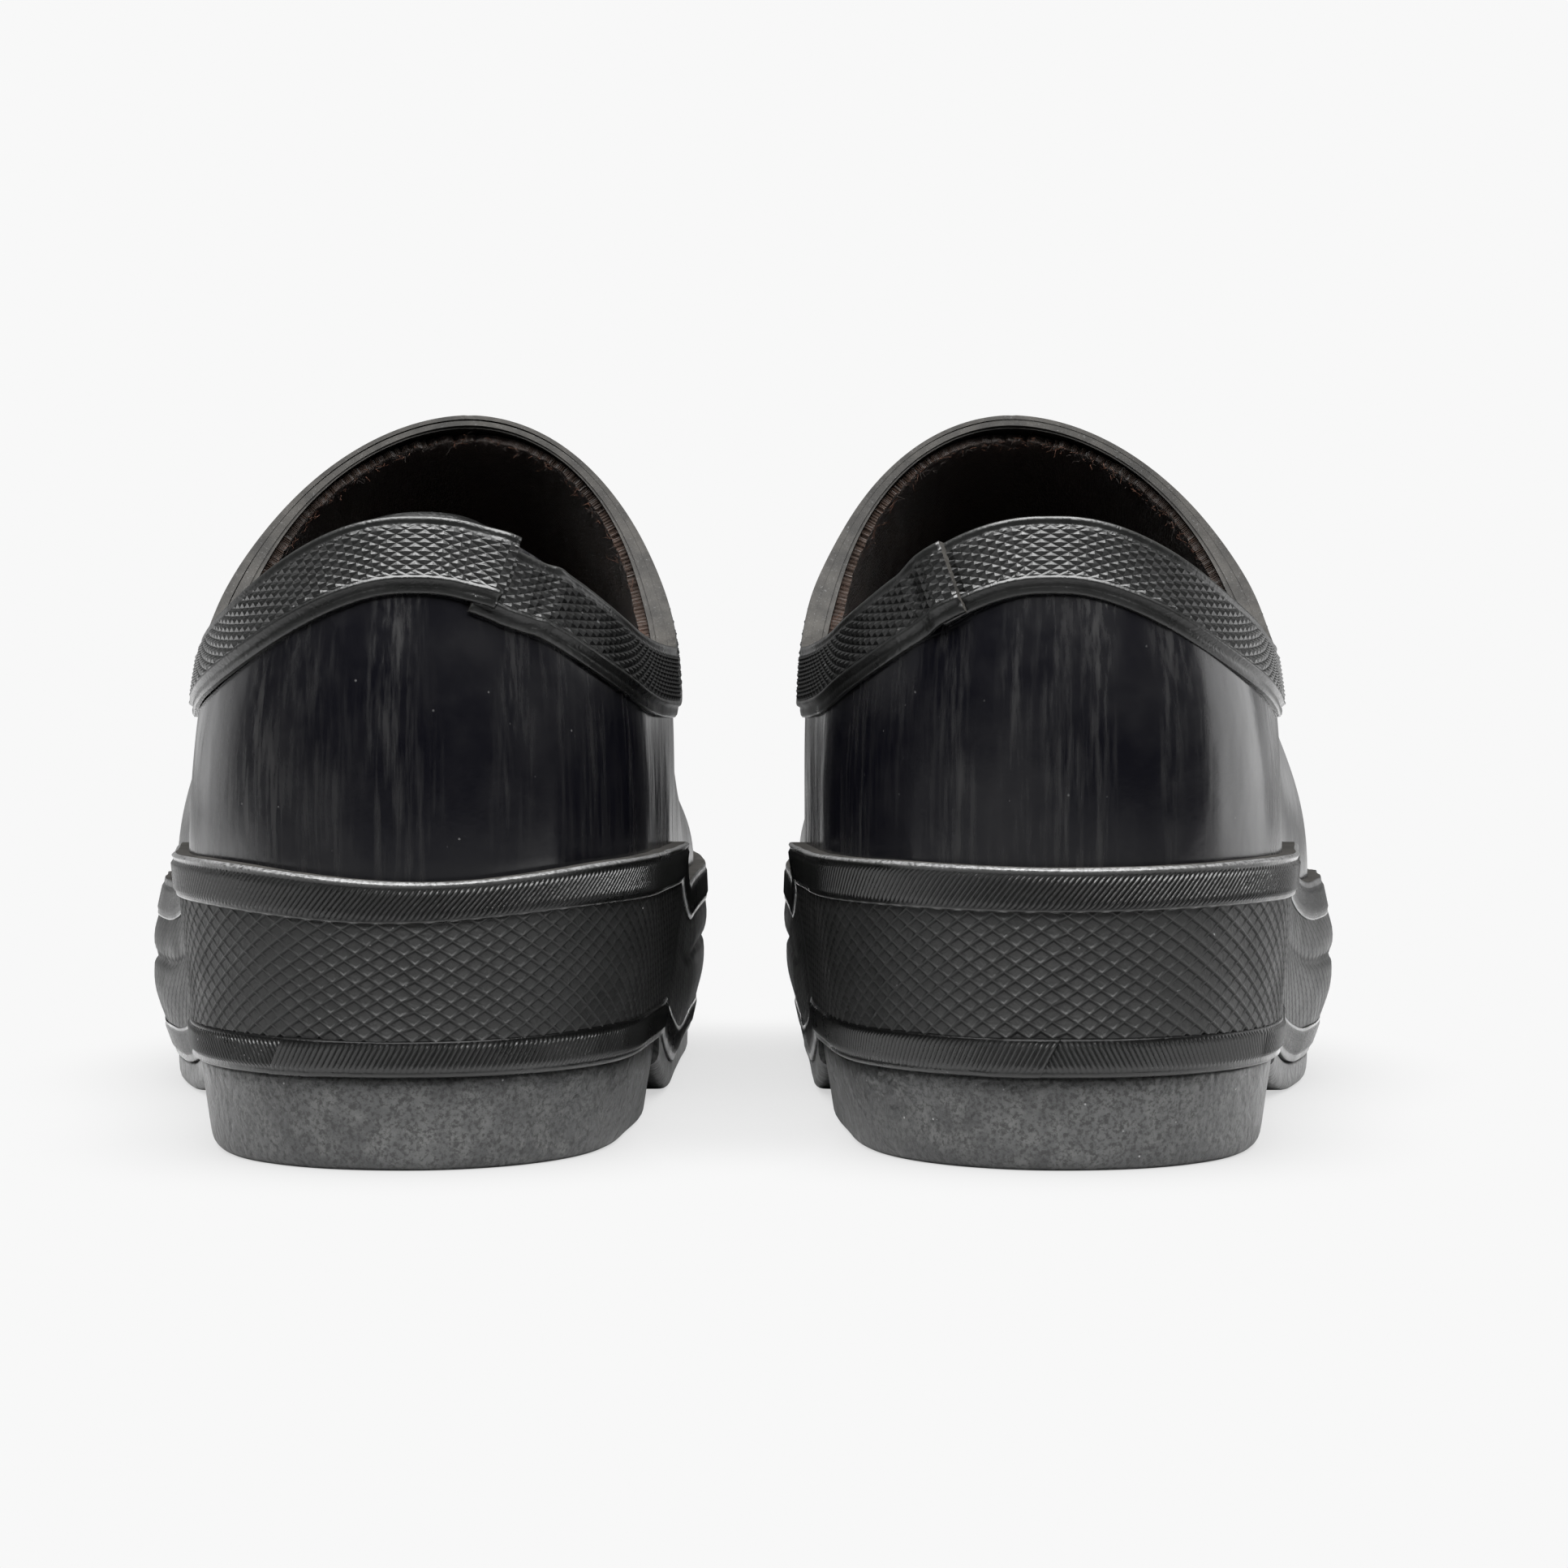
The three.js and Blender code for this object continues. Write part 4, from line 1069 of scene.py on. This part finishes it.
def make_outsole(side):
    """Section carried from the heel's front to the toe: from the lateral top edge down the side, round the
    bottom edge, across, and up the medial side."""
    start = outline_s((HEEL_LENGTH + 0.4) / LENGTH)
    toe = 0.93 + 0.0699 * np.sin(np.linspace(0, math.pi / 2, 40))[1:]
    s = np.concatenate([np.linspace(start, 0.93, 110), toe])
    rises = np.array([-0.25, -0.4, -0.8, -2.2, -3.6, -4.5, -5.0, -5.3, -5.45, -5.5])
    outs = np.array([1.2, 1.75, 1.95, 1.95, 1.85, 1.6, 1.2, 0.7, 0.1, -0.8])

    def flank(s):
        """The section's lines down one side, each out of the foxing's foot line by its own length."""
        foot = sole_line(rim(s, 0 * s, 0.0)[:, 1])
        return [np.concatenate([rim(s, 0 * s, out)[:, :2], (foot + rise)[:, None]], 1)
                for rise, out in zip(rises, outs)]
    lateral, medial = flank(s), flank(2 - s)
    between = np.linspace(0, 1, 16)[1:-1]
    across = [mix(lateral[-1], medial[-1], t) for t in between]
    over = [mix(medial[0], lateral[0], t) for t in between]
    rings = np.stack(lateral + across + medial[::-1] + over, 1)
    wave = 0.08 * waves(43, rings[..., 0] * 0.1, rings[..., 1] * 0.1, rings[..., 2] * 0.4, count=6)
    outer_side = np.sign(rings[..., 0] - rings[..., 0].mean(1, keepdims=True))
    rings = rings + np.array([1, 0, 0]) * (outer_side * wave)[..., None]
    columns, loop = rings.shape[:2]
    faces = grid_faces(columns, loop, False)
    near = np.arange(columns - 1) * loop
    far = near + loop
    wrap = np.stack([near + loop - 1, far + loop - 1, far, near], -1)
    k = np.arange(loop // 2 - 1)
    caps = []
    for c, flip in ((0, False), (columns - 1, True)):
        quads = c * loop + np.stack([k, k + 1, loop - 2 - k, loop - 1 - k], -1)
        caps.append(quads[:, ::-1] if flip else quads)
    piece = build(side, "sole", rings, np.concatenate([faces, wrap] + caps))
    weld(piece)
    return finish_piece(piece, side, "sole_rubber", [sole], "outsole")


# ---- Inside --------------------------------------------------------------------------------------
def make_lining(side):
    """Knitted sock lining: the wall moved in, from the footbed up to just under the top edge, with a
    brushed, slightly lumpy face and a ragged top."""
    s = even_columns(420)
    low = level(s, bed, 2.9)
    z = climb(s, 12.0, 1.1, 70)
    z = mix(low[:, None], z[:, -1:], (z - z[:, :1]) / (z[:, -1:] - z[:, :1]))
    s2 = np.broadcast_to(s[:, None], z.shape)
    p = wall(s2, z)
    q = np.arange(len(s))
    top_rows = np.arange(z.shape[1])[None] > z.shape[1] - 4
    fray = -0.35 * np.abs(waves(51, q * 0.8, count=7))[:, None] * top_rows
    fuzz = 0.16 * waves(52, p[..., 0] * 0.9, p[..., 1] * 0.9, p[..., 2] * 0.9, count=12, low=0.5, high=2.2)
    thin = throat_share(p[..., 1])
    outer = layer(s2, z + fray, mix(*LINING[0], thin))
    inner = layer(s2, z + fray, mix(*LINING[1], thin) + fuzz)
    uv = np.stack([s2 * LENGTH, z], -1) * MM
    piece = solid(side, "sock_lining", outer, inner, uv=uv)
    return finish_piece(piece, side, "lining_knit", [knit, knit], "lining")


def make_facing(side):
    """Thin rubber band between upper and lining; at the heel it stands about a millimetre above the
    tape, trimmed by hand in short straight cuts."""
    q = np.linspace(0, EDGE, 520, endpoint=False)
    signed = np.where(q > EDGE / 2, q - EDGE, q)
    rng = np.random.default_rng(61 + OWN[side])
    knots = np.sort(rng.uniform(-62, 62, 17))
    cuts = np.interp(signed, knots, rng.uniform(0.2, 1.7, 17))
    stand = cuts * (1 - ease(np.abs(signed), 36, 58)) - 0.25 * ease(np.abs(signed), 40, 70)
    s, z = below_edge(q, np.array([0.0, 2.0, 4.0, 6.0]))
    up = np.concatenate([(z[:, :1] + stand[:, None]), z], 1)
    s = np.concatenate([s[:, :1], s], 1)
    z = np.minimum(up, up[:, :1] - np.array([0, 0.3, 1.6, 3.0, 4.4])[None])
    thin = throat_share(wall(s, z)[..., 1])
    outer = layer(s, z, mix(*FACING[0], thin))
    inner = layer(s, z, mix(*FACING[1], thin))
    piece = solid(side, "edge_facing", outer[:, ::-1], inner[:, ::-1])
    return finish_piece(piece, side, "gloss_rubber", [embossed, cut], "collar_facing")


def make_footbed(side):
    """Cloth-faced foam insole: crowned across, dished at the heel, with soft rounded edges."""
    s = np.concatenate([[0.0015], np.linspace(0.02, 0.98, 150), [0.9985]])
    share = np.sin(np.linspace(-math.pi / 2, math.pi / 2, 33))

    def edge(k):
        """The insole's outline, which lies 5.4 mm inside the wall."""
        z = level(k, bed, 7.0)
        return wall(k, z) - level_unit(outward(k, z)) * 5.4
    lateral, medial = edge(s), edge(2 - s)
    flat = mix(medial[:, None], lateral[:, None], ((share + 1) / 2)[None, :, None])
    roll = np.sqrt(np.maximum(1 - np.abs(share) ** 6, 0))[None]
    x, y = flat[..., 0], flat[..., 1]
    along = round_off(y - y.min(), 4.0, 2) * round_off(y.max() - y, 4.0, 2)
    dish = -0.9 * bump(y, 30, 22) * (1 - share[None] ** 2)
    top, low = flat.copy(), flat.copy()
    top[..., 2] = bed(y) + 6.9 + 2.0 * roll * along + dish
    top[..., 2] += 0.07 * waves(71, x, y, count=8, low=0.1, high=0.5)
    low[..., 2] = bed(y) + 6.8 - 1.8 * roll * along
    uv = flat[..., :2] * MM
    piece = solid(side, "insole", low, top, closed=False, uv=uv)
    piece.data.polygons.foreach_set("use_smooth", np.ones(len(piece.data.polygons), bool))
    weld(piece)
    return finish_piece(piece, side, "lining_knit", [knit, knit], "footbed")


def make_fibres(side):
    """Stray knit fibres along the throat and heel edge: thin three-sided tubes, each a short curl."""
    rng = np.random.default_rng(81 + OWN[side])
    count = 900
    q = rng.uniform(0, EDGE, count)
    s, z = edge_at(q)
    root = layer(s, z - rng.uniform(0.3, 1.2, count), -rng.uniform(3.0, 4.4, count))
    inward = -outward(s, z)
    along = unit(wall(*edge_at(q + 0.5)) - wall(*edge_at(q - 0.5)))
    away = unit(np.cross(along, outward(s, z)))
    away = np.where(away[:, 2:] < 0, -away, away)
    length = rng.gamma(2.2, 0.42, count)[:, None]
    heading = unit(away * rng.uniform(0.1, 1, (count, 1)) + inward * rng.uniform(-0.1, 0.9, (count, 1))
                   + along * rng.normal(0, 0.9, (count, 1)))
    bend = unit(np.cross(heading, rng.normal(size=(count, 3))))
    t = np.linspace(0, 1, 6)
    path = (root[:, None] + heading[:, None] * (length * t)[..., None]
            + bend[:, None] * (length * 0.45 * np.sin(t * 2.6) * t)[..., None])
    across = unit(np.cross(heading, bend))
    turn = np.arange(3) * 2 * math.pi / 3
    radius = (0.035 * (1 - 0.6 * t))[None, :, None, None]
    turn = turn[None, None, :, None]
    ring = across[:, None, None] * np.cos(turn) + bend[:, None, None] * np.sin(turn)
    points = path[:, :, None] + ring * radius
    base = np.arange(count)[:, None, None] * 18
    k, m = np.arange(5)[None, :, None] * 3, np.arange(3)[None, None]
    n = (m + 1) % 3
    faces = np.stack([base + k + m, base + k + n, base + k + 3 + n, base + k + 3 + m], -1).reshape(-1, 4)
    material = np.repeat((rng.random(count) < 0.45).astype(int), 15)
    piece = build(side, "stray_fibres", points, faces, material)
    return finish_piece(piece, side, "lining_knit", [dark_fibre, rust_fibre])


for side in SIDES:
    for make in (make_upper, make_tape, make_net, make_rib_tapes, make_heel_block, make_outsole,
                 make_lining, make_facing, make_footbed, make_fibres):
        make(side)


# ---- Studio --------------------------------------------------------------------------------------
WHITE = grey(0.9387)


def show(g, end, lit, seen):
    """Ends a graph with lit for all other rays and seen for what the camera sees directly."""
    direct = g.add("ShaderNodeLightPath", {}).outputs["Is Camera Ray"]
    both = g.add("ShaderNodeMixShader", {0: direct, 1: lit.outputs[0], 2: seen.outputs[0]})
    g.fill(g.tree.nodes[end], {"Surface": both.outputs[0]})


def make_floor():
    """Floor: seen directly it is white, with a painted shadow close to the clogs from an ambient occlusion
    measure; in light and reflections it is grey, with painted shade making it darker on the camera's side."""
    mesh = bpy.data.meshes.new("studio_floor")
    r = 30.0
    mesh.from_pydata([(-r, -r, 0), (r, -r, 0), (r, r, 0), (-r, r, 0)], [], [(0, 1, 2, 3)])
    floor = bpy.data.objects.new("studio_floor", mesh)
    bpy.context.scene.collection.objects.link(floor)
    g, v = new_material("studio_floor")
    # Painted shade: to reflections and bounced light the floor is darker towards the camera's side.
    tone = g.blend(g.ramp(g.parts(v)["Y"], -0.3, 0.0), grey(0.05), grey(0.7))
    mesh.materials.append(g.surface(tone, 0.8))
    # Painted shadow: ambient occlusion darkens the floor's white glow close to the clogs.
    near = g.add("ShaderNodeAmbientOcclusion", {"Distance": 0.034}, samples=24).outputs["AO"]
    hidden = g.math("POWER", g.math("SUBTRACT", 1.0, near, clamp=True), 1.7)
    shade = g.math("SUBTRACT", 1.0, g.times(hidden, 0.42))
    seen = g.add("ShaderNodeEmission", {"Color": g.blend(shade, grey(0.0), WHITE), "Strength": 1.0})
    show(g, "Material Output", g.tree.nodes["Principled BSDF"], seen)


def make_world():
    """White seen directly; as light, bright behind and beside the clogs and dim on the camera's side."""
    world = bpy.data.worlds.new("studio")
    world.use_nodes = True
    g = Graph(world.node_tree)
    towards = g.parts(g.add("ShaderNodeTexCoord", {}).outputs["Generated"])
    bounces = g.add("ShaderNodeLightPath", {}).outputs["Glossy Depth"]
    behind = g.ramp(towards["Y"], 0.12, 0.75, 0.05, 1.0)
    behind = g.times(behind, g.ramp(towards["Z"], 0.0, 0.25, 1.0, 0.12))
    behind = g.times(behind, g.ramp(g.math("ABSOLUTE", towards["X"]), 0.1, 0.4, 0.22, 1.0))
    behind = g.times(behind, g.ramp(bounces, 1.0, 2.0, 1.0, 0.1))
    overhead = g.ramp(towards["Z"], 0.35, 0.95, 0.0, 0.75)
    lit = g.add("ShaderNodeBackground", {"Color": (1, 1, 1, 1), "Strength": g.plus(behind, overhead)})
    seen = g.add("ShaderNodeBackground", {"Color": WHITE, "Strength": 1.0})
    show(g, "World Output", lit, seen)
    bpy.context.scene.world = world


def area_light(name, place_at, aim, size, power):
    data = bpy.data.lights.new(name, "AREA")
    data.shape = "RECTANGLE"
    data.size, data.size_y = size
    data.energy = power
    lamp = bpy.data.objects.new(name, data)
    lamp.location = place_at
    lamp.rotation_euler = (Vector(aim) - Vector(place_at)).to_track_quat("-Z", "Y").to_euler()
    bpy.context.scene.collection.objects.link(lamp)


def make_camera():
    data = bpy.data.cameras.new("camera")
    data.sensor_width = 36.0
    data.lens = 88.5
    data.clip_end = 100.0
    camera = bpy.data.objects.new("camera", data)
    camera.location = (0.0079, -0.7355, 0.076)
    camera.rotation_euler = (math.radians(90 - 1.5), 0, 0)
    bpy.context.scene.collection.objects.link(camera)
    bpy.context.scene.camera = camera


make_floor()
make_world()
make_camera()
area_light("right_box", (0.95, 0.25, 0.2), (0.05, 0, 0.07), (0.7, 0.4), 2.0)
area_light("left_box", (-0.95, 0.5, 0.2), (-0.05, 0, 0.07), (0.6, 0.4), 0.35)
area_light("top_box", (0.0, -0.52, 0.98), (0, -0.1, 0.06), (1.6, 0.9), 62.0)
bpy.context.scene.view_settings.view_transform = "Standard"
